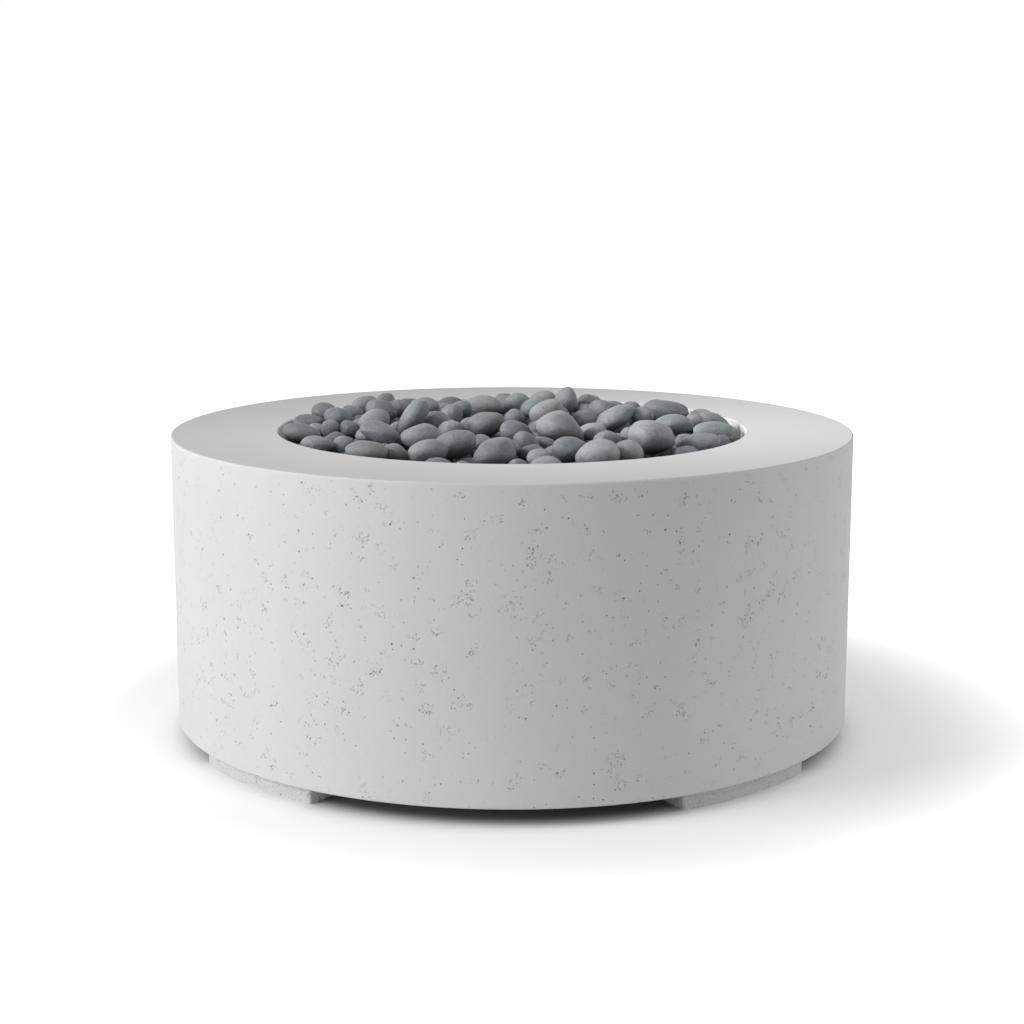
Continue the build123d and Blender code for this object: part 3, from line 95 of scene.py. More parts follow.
class Socket:
    """An output of a shader node, on which arithmetic adds Math nodes."""

    def __init__(self, shader: "Shader", link: bpy.types.NodeSocket | None) -> None:
        """Keeps the output and its shader."""
        self.shader = shader
        self.link = link

    def other(self, name: str) -> "Socket":
        """Another output of the same node."""
        return Socket(self.shader, self.link.node.outputs[name])

    def math(self, operation: str, *others: Value) -> "Socket":
        """Adds one Math node, which takes this output and then the others."""
        values = dict(enumerate((self, *others)))
        return self.shader.add("ShaderNodeMath", {"operation": operation}, values)

    # A comparison is 1 where it holds and 0 elsewhere, and angles are in radians.
    __add__ = __radd__ = partialmethod(math, "ADD")
    __sub__ = partialmethod(math, "SUBTRACT")
    __mul__ = __rmul__ = partialmethod(math, "MULTIPLY")
    __truediv__ = partialmethod(math, "DIVIDE")
    __pow__ = partialmethod(math, "POWER")
    __abs__ = partialmethod(math, "ABSOLUTE")
    __lt__ = partialmethod(math, "LESS_THAN")
    __gt__ = partialmethod(math, "GREATER_THAN")
    maximum = partialmethod(math, "MAXIMUM")
    sine = partialmethod(math, "SINE")
    fraction = partialmethod(math, "FRACT")

    def __rsub__(self, other: Value) -> "Socket":
        """Difference from a number."""
        return self.math("MULTIPLY_ADD", -1.0, other)

    def swing(self, span: float) -> "Socket":
        """A value from 0 to 1 spread over that span, evenly about 0."""
        return (self - 0.5) * span

    def between(self, low: Value, high: Value) -> "Socket":
        """Smooth rise from 0 at low to 1 at high."""
        values = {"Value": self, "From Min": low, "From Max": high}
        return self.shader.add("ShaderNodeMapRange", {"interpolation_type": "SMOOTHSTEP"}, values)


@dataclass(frozen=True)
class Noise:
    """Cloudy noise: waves per metre, finer layers, what each layer keeps, and scales along the axes."""

    scale: float
    detail: float = 3.0
    roughness: float = 0.5
    stretch: Vector = NO_STRETCH


class Shader:
    """Builds the nodes of one material or of the world."""

    def __init__(self, owner: Material | bpy.types.World) -> None:
        """Starts without nodes.

        Args:
            owner: The material, or the world, whose nodes these are.
        """
        owner.use_nodes = True
        self.owner = owner
        self.tree = owner.node_tree
        self.tree.nodes.clear()

    @classmethod
    def of_material(cls, name: str) -> "Shader":
        """Starts a new material."""
        return cls(bpy.data.materials.new(name))

    def add(
        self,
        kind: str,
        settings: Mapping[str, object] | None = None,
        values: Mapping[str | int, Value] | None = None,
        output: str | int = 0,
    ) -> Socket:
        """Adds a node of any kind.

        Args:
            kind: Blender's type name of the node.
            settings: The node's own settings, set first.
            values: Numbers, colours or links for its sockets, by name or by number.
            output: The output wanted, by name or by number.

        Returns:
            That output, which is empty for a node that has none.
        """
        node = self.tree.nodes.new(kind)
        for name, setting in (settings or {}).items():
            setattr(node, name, setting)
        for name, value in (values or {}).items():
            if isinstance(value, Socket):
                self.tree.links.new(value.link, node.inputs[name])
            else:
                node.inputs[name].default_value = value
        return Socket(self, node.outputs[output] if len(node.outputs) else None)

    def place(self) -> Socket:
        """Object coordinates, in metres."""
        return self.add("ShaderNodeTexCoord", output="Object")

    def attribute(self, name: str, output: str) -> Socket:
        """A value that the piece's mesh carries."""
        return self.add("ShaderNodeAttribute", {"attribute_name": name}, output=output)

    def axes(self, vector: Socket) -> tuple[Socket, Socket, Socket]:
        """The three parts of a vector."""
        first = self.add("ShaderNodeSeparateXYZ", None, {"Vector": vector}, "X")
        return first, first.other("Y"), first.other("Z")

    def mapped(self, vector: Socket, stretch: Vector = NO_STRETCH, shift: Vector = NO_SHIFT) -> Socket:
        """A vector scaled along its axes, then moved."""
        return self.add("ShaderNodeMapping", None, {"Vector": vector, "Scale": stretch, "Location": shift})

    def noise(self, vector: Socket, noise: Noise, output: str | int = 0) -> Socket:
        """Noise from 0 to 1, about 0.5 on average.

        Args:
            vector: Coordinates.
            noise: What it is like.
            output: The output wanted, of which the first is grey.

        Returns:
            That output.
        """
        if noise.stretch != NO_STRETCH:
            vector = self.mapped(vector, noise.stretch)
        values = {"Scale": noise.scale, "Detail": noise.detail, "Roughness": noise.roughness}
        return self.add("ShaderNodeTexNoise", None, {"Vector": vector, **values}, output)

    def cells(self, vector: Socket, scale: float) -> tuple[Socket, Socket, Socket]:
        """Scattered points.

        Args:
            vector: Coordinates.
            scale: Points per metre, about.

        Returns:
            Distance to the nearest point in spacings, and two random numbers of that point.
        """
        distance = self.add("ShaderNodeTexVoronoi", None, {"Vector": vector, "Scale": scale}, "Distance")
        red, green, _ = self.axes(distance.other("Color"))
        return distance, red, green

    def seen(self) -> Socket:
        """1 for rays from the camera and for those that gloss or glass sends on, 0 for all others."""
        camera = self.add("ShaderNodeLightPath", output="Is Camera Ray")
        return camera.maximum(camera.other("Is Glossy Ray")).maximum(camera.other("Is Transmission Ray"))

    def mix(self, share: Value, first: Value, second: Value, blend: str = "MIX") -> Socket:
        """Blends two colours, of which the share is the second's."""
        # The node's colours are its inputs 6 and 7, and their blend is its output 2.
        settings = {"data_type": "RGBA", "blend_type": blend, "clamp_factor": True}
        return self.add("ShaderNodeMix", settings, {0: share, 6: self.rgba(first), 7: self.rgba(second)}, 2)

    def blend(self, share: Socket, first: Socket, second: Socket) -> Socket:
        """Blends two surfaces, of which the share is the second's."""
        return self.add("ShaderNodeMixShader", None, {0: share, 1: first, 2: second})

    @staticmethod
    def rgba(colour: Value) -> Value:
        """A colour with its alpha, or a link as it is."""
        return colour if isinstance(colour, Socket) else (*colour, 1.0)

    def shade(self, colour: Value, strength: Value) -> Socket:
        """A colour multiplied by a number."""
        grey = self.add("ShaderNodeCombineXYZ", None, {0: strength, 1: strength, 2: strength})
        return self.mix(1.0, colour, grey, "MULTIPLY")

    def surface(
        self,
        colour: Socket,
        roughness: Socket,
        relief: Socket,
        depth: float,
        metallic: Value = 0.0,
        specular: float = 0.5,
    ) -> Material:
        """Ends the material in a Principled surface.

        Args:
            colour: Its colour.
            roughness: Its roughness.
            relief: Its relief, in shares of the depth.
            depth: Depth in millimetres of a relief of 1.
            metallic: 1 where it is bare metal, 0 where it isn't.
            specular: Strength of its gloss.

        Returns:
            The finished material.
        """
        bump = {"Height": relief, "Distance": depth * MM, "Strength": 1.0}
        values = {
            "Base Color": colour,
            "Roughness": roughness,
            "Metallic": metallic,
            "Specular IOR Level": specular,
            "Normal": self.add("ShaderNodeBump", None, bump),
        }
        surface = self.add("ShaderNodeBsdfPrincipled", None, values)
        self.add("ShaderNodeOutputMaterial", None, {"Surface": surface})
        return self.owner


class Finish(Protocol):
    """Anything that can make the material of one slot."""

    name: str

    def material(self) -> Material:
        """Makes the material."""


@dataclass(frozen=True)
class HoleSize:
    """One size of air hole: points per metre, how many of them are holes, largest radius in spacings."""

    scale: float
    share: float
    reach: float


@dataclass(frozen=True)
class Concrete:
    """Cast concrete: cloudy, finely grained, with clustered air holes on the walls, painted shade in them,
    painted highlights beside them and painted bounce light low on the walls; depths in millimetres.
    """

    name: str
    colour: Colour
    hole_share: float
    hole_depth: float
    grain_depth: float
    clear_above: float
    roughness: float = 0.82
    specular: float = 0.3
    clouds: Noise = Noise(3.2, 5.0, 0.55)
    cloud_shade: float = 0.09
    cloud_depth: float = 0.3
    streaks: Noise = Noise(1.0, stretch=(9.0, 9.0, 1.2))
    streak_shade: float = 0.05
    grain: Noise = Noise(260.0, 2.0, 0.6)
    grain_shade: float = 0.06
    grain_gloss: float = 0.12
    # painted light: how much lighter the walls are at the bottom than at the rim
    painted_bounce_light: float = 0.1
    rim_fade: float = 4.0 * MM
    waves: Noise = Noise(130.0, 2.0)
    wave_reach: Vector = (6.0 * MM, 6.0 * MM, 6.0 * MM)
    patches: Noise = Noise(4.5, 3.0, 0.6)
    patch_edge: Range = (0.32, 0.55)
    clusters: Noise = Noise(48.0, 3.0, 0.6)
    cluster_edge: Range = (0.55, 0.68)
    cluster_shift: Vector = (0.4, 0.0, 0.2)
    loose_share: float = 0.05
    hole_sizes: tuple[HoleSize, ...] = (
        HoleSize(42.0, 0.6, 0.14),
        HoleSize(90.0, 0.8, 0.2),
        HoleSize(250.0, 1.0, 0.36),
    )
    smallest_hole: float = 0.3
    hole_floor: float = 0.5
    # painted shade in the air holes and crumbled spots
    painted_hole_shade: float = 0.64
    crumbs: Noise = Noise(380.0, 2.0, 0.55)
    crumb_edge: Range = (0.57, 0.66)
    crumb_depth: float = 0.6
    # painted highlights beside the holes, standing in for their lit edges
    highlight_shift: Vector = (1.0, 1.0, 1.0)
    highlight_strength: float = 0.2

    def holes(self, shader: Shader, place: Socket, size: HoleSize, share: Socket) -> Socket:
        """Air holes of one size.

        A point of the scatter is a hole where its random number falls under the share, and its radius
        grows with the square of its other random number.

        Args:
            shader: The material's nodes.
            place: Coordinates.
            size: The size.
            share: Share of the points that may be holes.

        Returns:
            Depth of the hole at each point, from 0 to 1.
        """
        distance, chance, growth = shader.cells(place, size.scale)
        radius = (growth * growth * (1.0 - self.smallest_hole) + self.smallest_hole) * size.reach
        depth = 1.0 - (distance / radius).between(self.hole_floor, 1.0)
        return depth * (chance < share * size.share)

    def holes_and_highlights(self, shader: Shader, place: Socket, walls: Socket) -> tuple[Socket, Socket]:
        """Holes, with crumbled spots among them, and painted highlights beside them, gathered in clusters on
        the walls.

        Args:
            shader: The material's nodes.
            place: Coordinates.
            walls: 1 on the walls, 0 on the rim.

        Returns:
            Depth of the holes and strength of the painted highlights, from 0 to 1.
        """
        waves = {0: shader.noise(place, self.waves, "Color"), 1: self.wave_reach, 2: place}
        wavy = shader.add("ShaderNodeVectorMath", {"operation": "MULTIPLY_ADD"}, waves)
        shifted = shader.mapped(place, shift=self.cluster_shift)
        patches = shader.noise(shifted, self.patches).between(*self.patch_edge)
        clusters = shader.noise(shifted, self.clusters).between(*self.cluster_edge) * patches
        share = (clusters * (1.0 - self.loose_share) + self.loose_share) * walls * self.hole_share
        crumbs = shader.noise(wavy, self.crumbs).between(*self.crumb_edge)
        depth = crumbs * clusters * walls * self.crumb_depth
        for size in self.hole_sizes:
            depth = depth.maximum(self.holes(shader, wavy, size, share))
        # painted highlights: lighter spots beside the holes, standing in for their lit edges
        beside = shader.mapped(wavy, shift=self.highlight_shift)
        painted_highlights = shader.noise(beside, self.crumbs).between(*self.crumb_edge)
        return depth, painted_highlights * clusters * walls

    def material(self) -> Material:
        """Makes the material.

        Returns:
            The material.
        """
        shader = Shader.of_material(self.name)
        place = shader.place()
        _, _, height = shader.axes(place)
        walls = 1.0 - height.between(self.clear_above - self.rim_fade, self.clear_above)
        clouds = shader.noise(place, self.clouds)
        streaks = shader.noise(place, self.streaks)
        grain = shader.noise(place, self.grain)
        holes, painted_highlights = self.holes_and_highlights(shader, place, walls)
        mottle = clouds.swing(self.cloud_shade) + streaks.swing(self.streak_shade)
        # painted light: the walls lighter towards the bottom, as from light the floor bounces onto them
        mottle = mottle + (height / RIM_HEIGHT).swing(-self.painted_bounce_light) * walls
        tone = 1.0 + mottle + grain.swing(self.grain_shade)
        # painted shade darkens the holes and crumbled spots, and painted highlights lighten spots beside them
        tone_and_painted_light = tone * (1.0 - holes * self.painted_hole_shade + painted_highlights * self.highlight_strength)
        colour = shader.shade(self.colour, tone_and_painted_light)
        roughness = grain.swing(self.grain_gloss) + self.roughness
        relief = grain * self.grain_depth - holes * self.hole_depth + clouds * self.cloud_depth
        return shader.surface(colour, roughness, relief, depth=1.0, specular=self.specular)


@dataclass(frozen=True)
class Pebble:
    """Tumbled stone: one of two tints for each stone, faint bands, fine speckle, and painted shade that
    darkens it deeper in the bed.
    """

    name: str
    colour: Colour
    other: Colour
    roughness: float = 0.52
    specular: float = 0.32
    clouds: Noise = Noise(26.0, 4.0, 0.55)
    cloud_tint: float = 0.9
    cloud_shade: float = 0.55
    cloud_gloss: float = 0.25
    cloud_depth: float = 0.8
    tint_edge: Range = (0.25, 0.75)
    bands: Noise = Noise(1.0, stretch=(14.0, 14.0, 90.0))
    band_shade: float = 0.4
    speckle: Noise = Noise(620.0, 2.0, 0.7)
    speckle_shade: float = 0.45
    speckle_gloss: float = 0.1
    speckle_depth: float = 0.35
    dimples: Noise = Noise(150.0, 2.0, 0.6)
    dimple_shade: float = 0.35
    dimple_depth: float = 1.4
    dots: Noise = Noise(330.0, 1.0)
    dot_edge: Range = (0.6, 0.72)
    dot_shade: float = 0.22
    dot_depth: float = 0.5
    level_rate: float = 13.0
    level_low: float = 0.84
    level_span: float = 0.4
    # painted shade: how much darker a stone gets where it lies deep in the bed
    painted_shade: float = 0.85
    depth: float = 0.8

    def material(self) -> Material:
        """Makes the material.

        Returns:
            The material.
        """
        shader = Shader.of_material(self.name)
        grain = shader.attribute("grain", "Vector")
        tone = shader.attribute("tone", "Fac")
        painted_shade_share = shader.attribute("painted_shade", "Fac")
        clouds = shader.noise(grain, self.clouds)
        bands = shader.noise(grain, self.bands)
        speckle = shader.noise(grain, self.speckle)
        dimples = shader.noise(grain, self.dimples)
        dots = shader.noise(grain, self.dots).between(*self.dot_edge)
        second = (tone + clouds.swing(self.cloud_tint)).between(*self.tint_edge)
        tint = shader.mix(second, self.colour, self.other)
        level = (tone * self.level_rate).fraction() * self.level_span + self.level_low
        mottle = clouds.swing(self.cloud_shade) + bands.swing(self.band_shade)
        mottle = mottle + dimples.swing(self.dimple_shade) + speckle.swing(self.speckle_shade)
        unshaded_tone = level * (mottle + 1.0) * (1.0 - dots * self.dot_shade)
        # painted shade: the colour darkened the deeper the point lies in the bed
        colour = shader.shade(tint, unshaded_tone * (1.0 - painted_shade_share * self.painted_shade))
        gloss = clouds.swing(self.cloud_gloss) + speckle.swing(self.speckle_gloss)
        relief = speckle * self.speckle_depth + clouds * self.cloud_depth
        relief = relief + dimples * self.dimple_depth - dots * self.dot_depth
        return shader.surface(colour, gloss + self.roughness, relief, self.depth, specular=self.specular)


@dataclass(frozen=True)
class Moulded:
    """Paint, plastic, rubber or ceramic: a fine texture, and stained patches, here of dust."""

    name: str
    colour: Colour
    roughness: float
    texture: Noise = Noise(900.0, 2.0)
    depth: float = 0.02
    stain: Colour = (0.3, 0.3, 0.3)
    stain_share: float = 0.08
    stain_gloss: float = 1.0
    texture_shade: float = 0.12
    texture_gloss: float = 0.1
    patches: Noise = Noise(30.0, 4.0, 0.6)
    patch_edge: Range = (0.42, 0.75)
    metallic: float = 0.0

    def material(self) -> Material:
        """Makes the material.

        Returns:
            The material.
        """
        shader = Shader.of_material(self.name)
        place = shader.place()
        texture = shader.noise(place, self.texture)
        stained = shader.noise(place, self.patches).between(*self.patch_edge) * self.stain_share
        stained_colour = shader.mix(stained, self.colour, self.stain)
        colour = shader.shade(stained_colour, texture.swing(self.texture_shade) + 1.0)
        roughness = texture.swing(self.texture_gloss) + stained * self.stain_gloss + self.roughness
        return shader.surface(colour, roughness, texture, self.depth, self.metallic)


@dataclass(frozen=True)
class Metal(Moulded):
    """Bare or plated metal: the texture is a drawn or brushed grain, and the stain is a tint from heat."""

    depth: float = 0.03
    stain: Colour = (0.5, 0.5, 0.5)
    stain_share: float = 0.25
    stain_gloss: float = 0.4
    texture_shade: float = 0.14
    texture_gloss: float = 0.16
    patches: Noise = Noise(18.0, 4.0, 0.6)
    patch_edge: Range = (0.4, 0.75)
    metallic: float = 1.0


@dataclass(frozen=True)
class DialPlate:
    """Brushed plate with a filled arc round the knob that widens as the flame grows, and a mark at off."""

    name: str
    colour: Colour
    ink: Colour
    arc_radius: float = 25.5 * MM
    arc_width: float = 4.0 * MM
    arc_span: Range = (0.12, 0.97)
    mark_width: float = 1.6 * MM
    roughness: float = 0.32
    ink_gloss: float = 0.25
    grain: Noise = Noise(1.0, 3.0, 0.65, (14.0, 900.0, 900.0))
    grain_shade: float = 0.16
    grain_gloss: float = 0.2
    depth: float = 0.03

    def material(self) -> Material:
        """Makes the material.

        The arc is where the distance from the knob's axis stays within half a width that grows evenly
        with the angle from the off mark; the mark is a short radial line at the top.

        Returns:
            The material.
        """
        shader = Shader.of_material(self.name)
        place = shader.place()
        across, _, up = shader.axes(place)
        low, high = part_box("control_knob")
        right, rise = (low.x + high.x) / 2 - across, up - (low.z + high.z) / 2
        distance = (right * right + rise * rise) ** 0.5
        half_turns = right.math("ARCTAN2", rise) / math.pi
        off_radius = abs(distance - self.arc_radius)
        start, end = self.arc_span
        arc = (off_radius < half_turns * (self.arc_width / 2)) * (half_turns > start) * (half_turns < end)
        mark = (abs(right) < self.mark_width / 2) * (rise > 0) * (off_radius < self.arc_width / 2)
        ink = arc.maximum(mark)
        brushed = shader.noise(place, self.grain)
        metal = shader.shade(self.colour, brushed.swing(self.grain_shade) + 1.0)
        colour = shader.mix(ink, metal, self.ink)
        roughness = brushed.swing(self.grain_gloss) + ink * self.ink_gloss + self.roughness
        return shader.surface(colour, roughness, brushed, self.depth, 1.0 - ink)


@dataclass(frozen=True)
class MarkedKnob:
    """Black moulded knob whose pointer slot is filled with pale paint."""

    name: str
    colour: Colour
    paint: Colour
    slot_width: float
    slot_length: float
    slot_depth: float
    width_slack: float = 1.04
    depth_slack: float = 1.1
    roughness: float = 0.34
    paint_gloss: float = 0.2
    texture: Noise = Noise(1200.0, 2.0)
    texture_shade: float = 0.12
    texture_gloss: float = 0.1
    depth: float = 0.01

    def material(self) -> Material:
        """Makes the material.

        The paint is where a point lies within half a slot's width of the upright through the knob's axis,
        within the slot's length of its edge, and no deeper than the slot's floor.

        Returns:
            The material.
        """
        shader = Shader.of_material(self.name)
        place = shader.place()
        across, out, up = shader.axes(place)
        low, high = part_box("control_knob")
        aside = abs(across - (low.x + high.x) / 2)
        slot = (aside < self.slot_width / 2 * self.width_slack) * (up > high.z - self.slot_length)
        painted = slot * (out > high.y - self.slot_depth * self.depth_slack)
        texture = shader.noise(place, self.texture)
        black = shader.shade(self.colour, texture.swing(self.texture_shade) + 1.0)
        colour = shader.mix(painted, black, self.paint)
        roughness = texture.swing(self.texture_gloss) + painted * self.paint_gloss + self.roughness
        return shader.surface(colour, roughness, texture, self.depth)


@dataclass(frozen=True)
class Braid:
    """Braided steel sleeve: two sets of crossing strands, one over the other, drawn on the hose's own map."""

    name: str
    colour: Colour
    shadow: Colour
    strands: int
    pitch: float
    strand_edge: Range = (0.35, 0.9)
    strand_gloss: float = 0.18
    roughness: float = 0.5
    depth: float = 0.35

    def material(self) -> Material:
        """Makes the material.

        Strands run where the sum and the difference of the turns round and along the hose pass whole
        numbers, so their sines give two sets of ridges, and the higher of the two lies on top.

        Returns:
            The material.
        """
        shader = Shader.of_material(self.name)
        turn, run, _ = shader.axes(shader.add("ShaderNodeUVMap", output="UV"))
        round_angle = TURN * self.strands * turn
        long_angle = TURN / self.pitch * run
        ridge = (round_angle + long_angle).sine().maximum((round_angle - long_angle).sine()) * 0.5 + 0.5
        colour = shader.mix(ridge.between(*self.strand_edge), self.shadow, self.colour)
        roughness = self.roughness - ridge * self.strand_gloss
        return shader.surface(colour, roughness, ridge, self.depth, metallic=1.0)


STEEL_GRAIN = Noise(1.0, 3.0, 0.65, (60.0, 60.0, 700.0))
TURNED_GRAIN = Noise(1.0, 3.0, 0.65, (500.0, 60.0, 500.0))

FINISHES: dict[str, Finish] = {
    finish.name: finish
    for finish in (
        Concrete("cast_concrete", (0.67, 0.67, 0.668), 0.9, 1.6, 0.05, RIM_HEIGHT - 2.0 * MM),
        Concrete("foot_concrete", (0.62, 0.62, 0.615), 0.9, 1.8, 0.4, RIM_HEIGHT, 0.9, grain_shade=0.6),
        Metal("stainless", (0.62, 0.62, 0.6), 0.3, STEEL_GRAIN),
        Moulded("tray_steel", (0.035, 0.035, 0.034), 0.6, Noise(500.0, 2.0), 0.04, (0.16, 0.15, 0.14), 0.5),
        Metal("burner_steel", (0.42, 0.39, 0.35), 0.42, STEEL_GRAIN, 0.04, (0.3, 0.2, 0.16), 0.6),
        Metal("zinc_steel", (0.58, 0.59, 0.6), 0.36, TURNED_GRAIN, 0.02, (0.5, 0.5, 0.47), 0.35),
        Metal("brass", (0.72, 0.53, 0.23), 0.28, TURNED_GRAIN, 0.02, (0.45, 0.31, 0.13), 0.35),
        Metal("valve_alloy", (0.55, 0.56, 0.57), 0.5, Noise(400.0, 3.0, 0.65), 0.06, (0.42, 0.42, 0.42), 0.4),
        Moulded("igniter_body", (0.03, 0.03, 0.03), 0.45),
        Moulded("button_red", (0.42, 0.025, 0.02), 0.22, Noise(300.0, 2.0), 0.005, (0.5, 0.3, 0.28), 0.04),
        Metal("spring_steel", (0.66, 0.66, 0.65), 0.2, Noise(300.0, 3.0, 0.65), 0.01),
        MarkedKnob("knob_black", (0.025, 0.025, 0.026), (0.7, 0.7, 0.68), 2.0 * MM, 13.0 * MM, 1.0 * MM),
        Moulded("lead_rubber", (0.3, 0.03, 0.02), 0.5),
        Metal("probe_copper", (0.7, 0.38, 0.24), 0.32, TURNED_GRAIN, 0.02, (0.35, 0.2, 0.13), 0.4),
        Moulded("white_ceramic", (0.78, 0.76, 0.7), 0.55, Noise(700.0, 2.0), 0.03, (0.45, 0.42, 0.37), 0.2),
        Braid("hose_braid", (0.6, 0.6, 0.58), (0.12, 0.12, 0.12), 12, 14.0 * MM),
        Pebble("pebble_under", (0.12, 0.126, 0.132), (0.15, 0.155, 0.161)),
        Pebble("pebble_slate", (0.168, 0.182, 0.202), (0.2, 0.211, 0.227)),
        Pebble("pebble_ash", (0.23, 0.24, 0.251), (0.21, 0.219, 0.229)),
        Pebble("pebble_pearl", (0.272, 0.284, 0.296), (0.255, 0.265, 0.275)),
        Pebble("pebble_moss", (0.208, 0.233, 0.239), (0.23, 0.252, 0.258)),
        Pebble("pebble_umber", (0.226, 0.228, 0.236), (0.242, 0.238, 0.243)),
    )
}


@cache
def material_of(slot: str) -> Material:
    """The material of a slot, made once."""
    return FINISHES[slot].material()


def dress(piece: bpy.types.Object, material: Material) -> None:
    """Gives a piece one material."""
    piece.data.materials.clear()
    piece.data.materials.append(material)


def mesh_piece(name: str, points: np.ndarray, faces: np.ndarray, slot: str) -> bpy.types.Object:
    """Makes a smooth mesh in its place, dresses it and lets it ride on the pit.

    Args:
        name: Name of the piece.
        points: Its points in metres, one in each row.
        faces: Its faces as rows of point numbers.
        slot: Material slot of the record.

    Returns:
        The new piece.
    """
    mesh = bpy.data.meshes.new(name)
    mesh.from_pydata(points, [], faces)
    mesh.polygons.foreach_set("use_smooth", np.ones(len(mesh.polygons), bool))
    mesh.update()
    piece = bpy.data.objects.new(name, mesh)
    bpy.context.scene.collection.objects.link(piece)
    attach(piece, PIT_BODY)
    dress(piece, material_of(slot))
    log.info("%s: %d faces", name, len(mesh.polygons))
    return piece


def skin(rings: int, around: int) -> np.ndarray:
    """Triangles over rings of points, two for each cell between rings and a fan at each end.

    The points are numbered ring by ring, and the two end points come last.

    Args:
        rings: Number of rings.
        around: Points on each ring.

    Returns:
        Rows of three point numbers.
    """
    here = np.arange(rings * around).reshape(rings, around)
    after = np.roll(here, -1, axis=1)
    start = np.full((1, around), rings * around)
    cells = (here[:-1], after[:-1], after[1:]), (here[:-1], after[1:], here[1:])
    fans = (start, after[:1], here[:1]), (start + 1, here[-1:], after[-1:])
    return np.concatenate([np.stack(corners, axis=-1).reshape(-1, 3) for corners in cells + fans])


def give_values(mesh: bpy.types.Mesh, name: str, values: np.ndarray) -> None:
    """Stores one number or one vector for each point of a mesh.

    Args:
        mesh: The mesh.
        name: Name under which a material finds them.
        values: A row of numbers, or rows of three.
    """
    kind, key = ("FLOAT", "value") if values.ndim == 1 else ("FLOAT_VECTOR", "vector")
    layer = mesh.attributes.new(name, kind, "POINT")
    layer.data.foreach_set(key, values.ravel().astype(np.float32))


@dataclass(frozen=True)
class Ellipsoids:
    """The stones of one node: their centres, half axes, longest first, and directions of the axes."""

    centres: np.ndarray
    half_axes: np.ndarray
    turns: np.ndarray

    @classmethod
    def of_node(cls, node: str) -> "Ellipsoids":
        """Reads the stones out of a node's triangles.

        Points at one place are merged, and the lowest point number spreads over the triangles until
        each stone has one. A stone's points then lie on one quadric, which least squares gives.

        Args:
            node: Name of the node.

        Returns:
            The stones.
        """
        mesh = frame["nodes"][node].data
        points = np.empty(len(mesh.vertices) * 3, np.float32)
        mesh.vertices.foreach_get("co", points)
        corners = np.empty(len(mesh.loops), np.int32)
        mesh.loops.foreach_get("vertex_index", corners)
        rounded = np.round(points.reshape(-1, 3), MERGE_DIGITS)
        places, merged = np.unique(rounded, axis=0, return_inverse=True)
        triangles = merged.reshape(-1)[corners].reshape(-1, 3)
        labels = cls.islands(triangles, len(places))
        fitted = [cls.fit(places[labels == label].astype(float)) for label in np.unique(labels)]
        centres, half_axes, turns = (np.array(parts) for parts in zip(*fitted))
        return cls(centres, half_axes, turns)

    @staticmethod
    def islands(triangles: np.ndarray, count: int) -> np.ndarray:
        """Lowest point number that each point is joined to.

        Args:
            triangles: Rows of three point numbers.
            count: Number of points.

        Returns:
            One number for each point.
        """
        labels = np.arange(count)
        while True:
            lowest = labels[triangles].min(axis=1)
            spread = labels.copy()
            for corner in triangles.T:
                np.minimum.at(spread, corner, lowest)
            spread = spread[spread]
            if (spread == labels).all():
                return labels
            labels = spread

    @staticmethod
    def fit(points: np.ndarray) -> tuple[np.ndarray, np.ndarray, np.ndarray]:
        """Fits the ellipsoid on which the points lie.

        Its equation is p'Fp + 2t'p = 1 in coordinates from the points' middle, whose nine numbers least
        squares gives. The centre is then -F^-1 t, and the axes are the eigenvectors of F.

        Args:
            points: Points of one stone.

        Returns:
            Centre, half axes and axis directions.
        """
        middle = points.mean(axis=0)
        reach = np.abs(points - middle).max()
        x, y, z = ((points - middle) / reach).T
        terms = np.stack([x * x, y * y, z * z, 2 * x * y, 2 * x * z, 2 * y * z, 2 * x, 2 * y, 2 * z], axis=1)
        a, b, c, d, e, f, *tilt = np.linalg.lstsq(terms, np.ones(len(points)), rcond=None)[0]
        form = np.array([[a, d, e], [d, b, f], [e, f, c]])
        offset = -np.linalg.solve(form, tilt)
        strengths, turn = np.linalg.eigh(form / (1 + offset @ form @ offset))
        turn[:, 2] = np.cross(turn[:, 0], turn[:, 1])
        return middle + reach * offset, reach / np.sqrt(strengths), turn


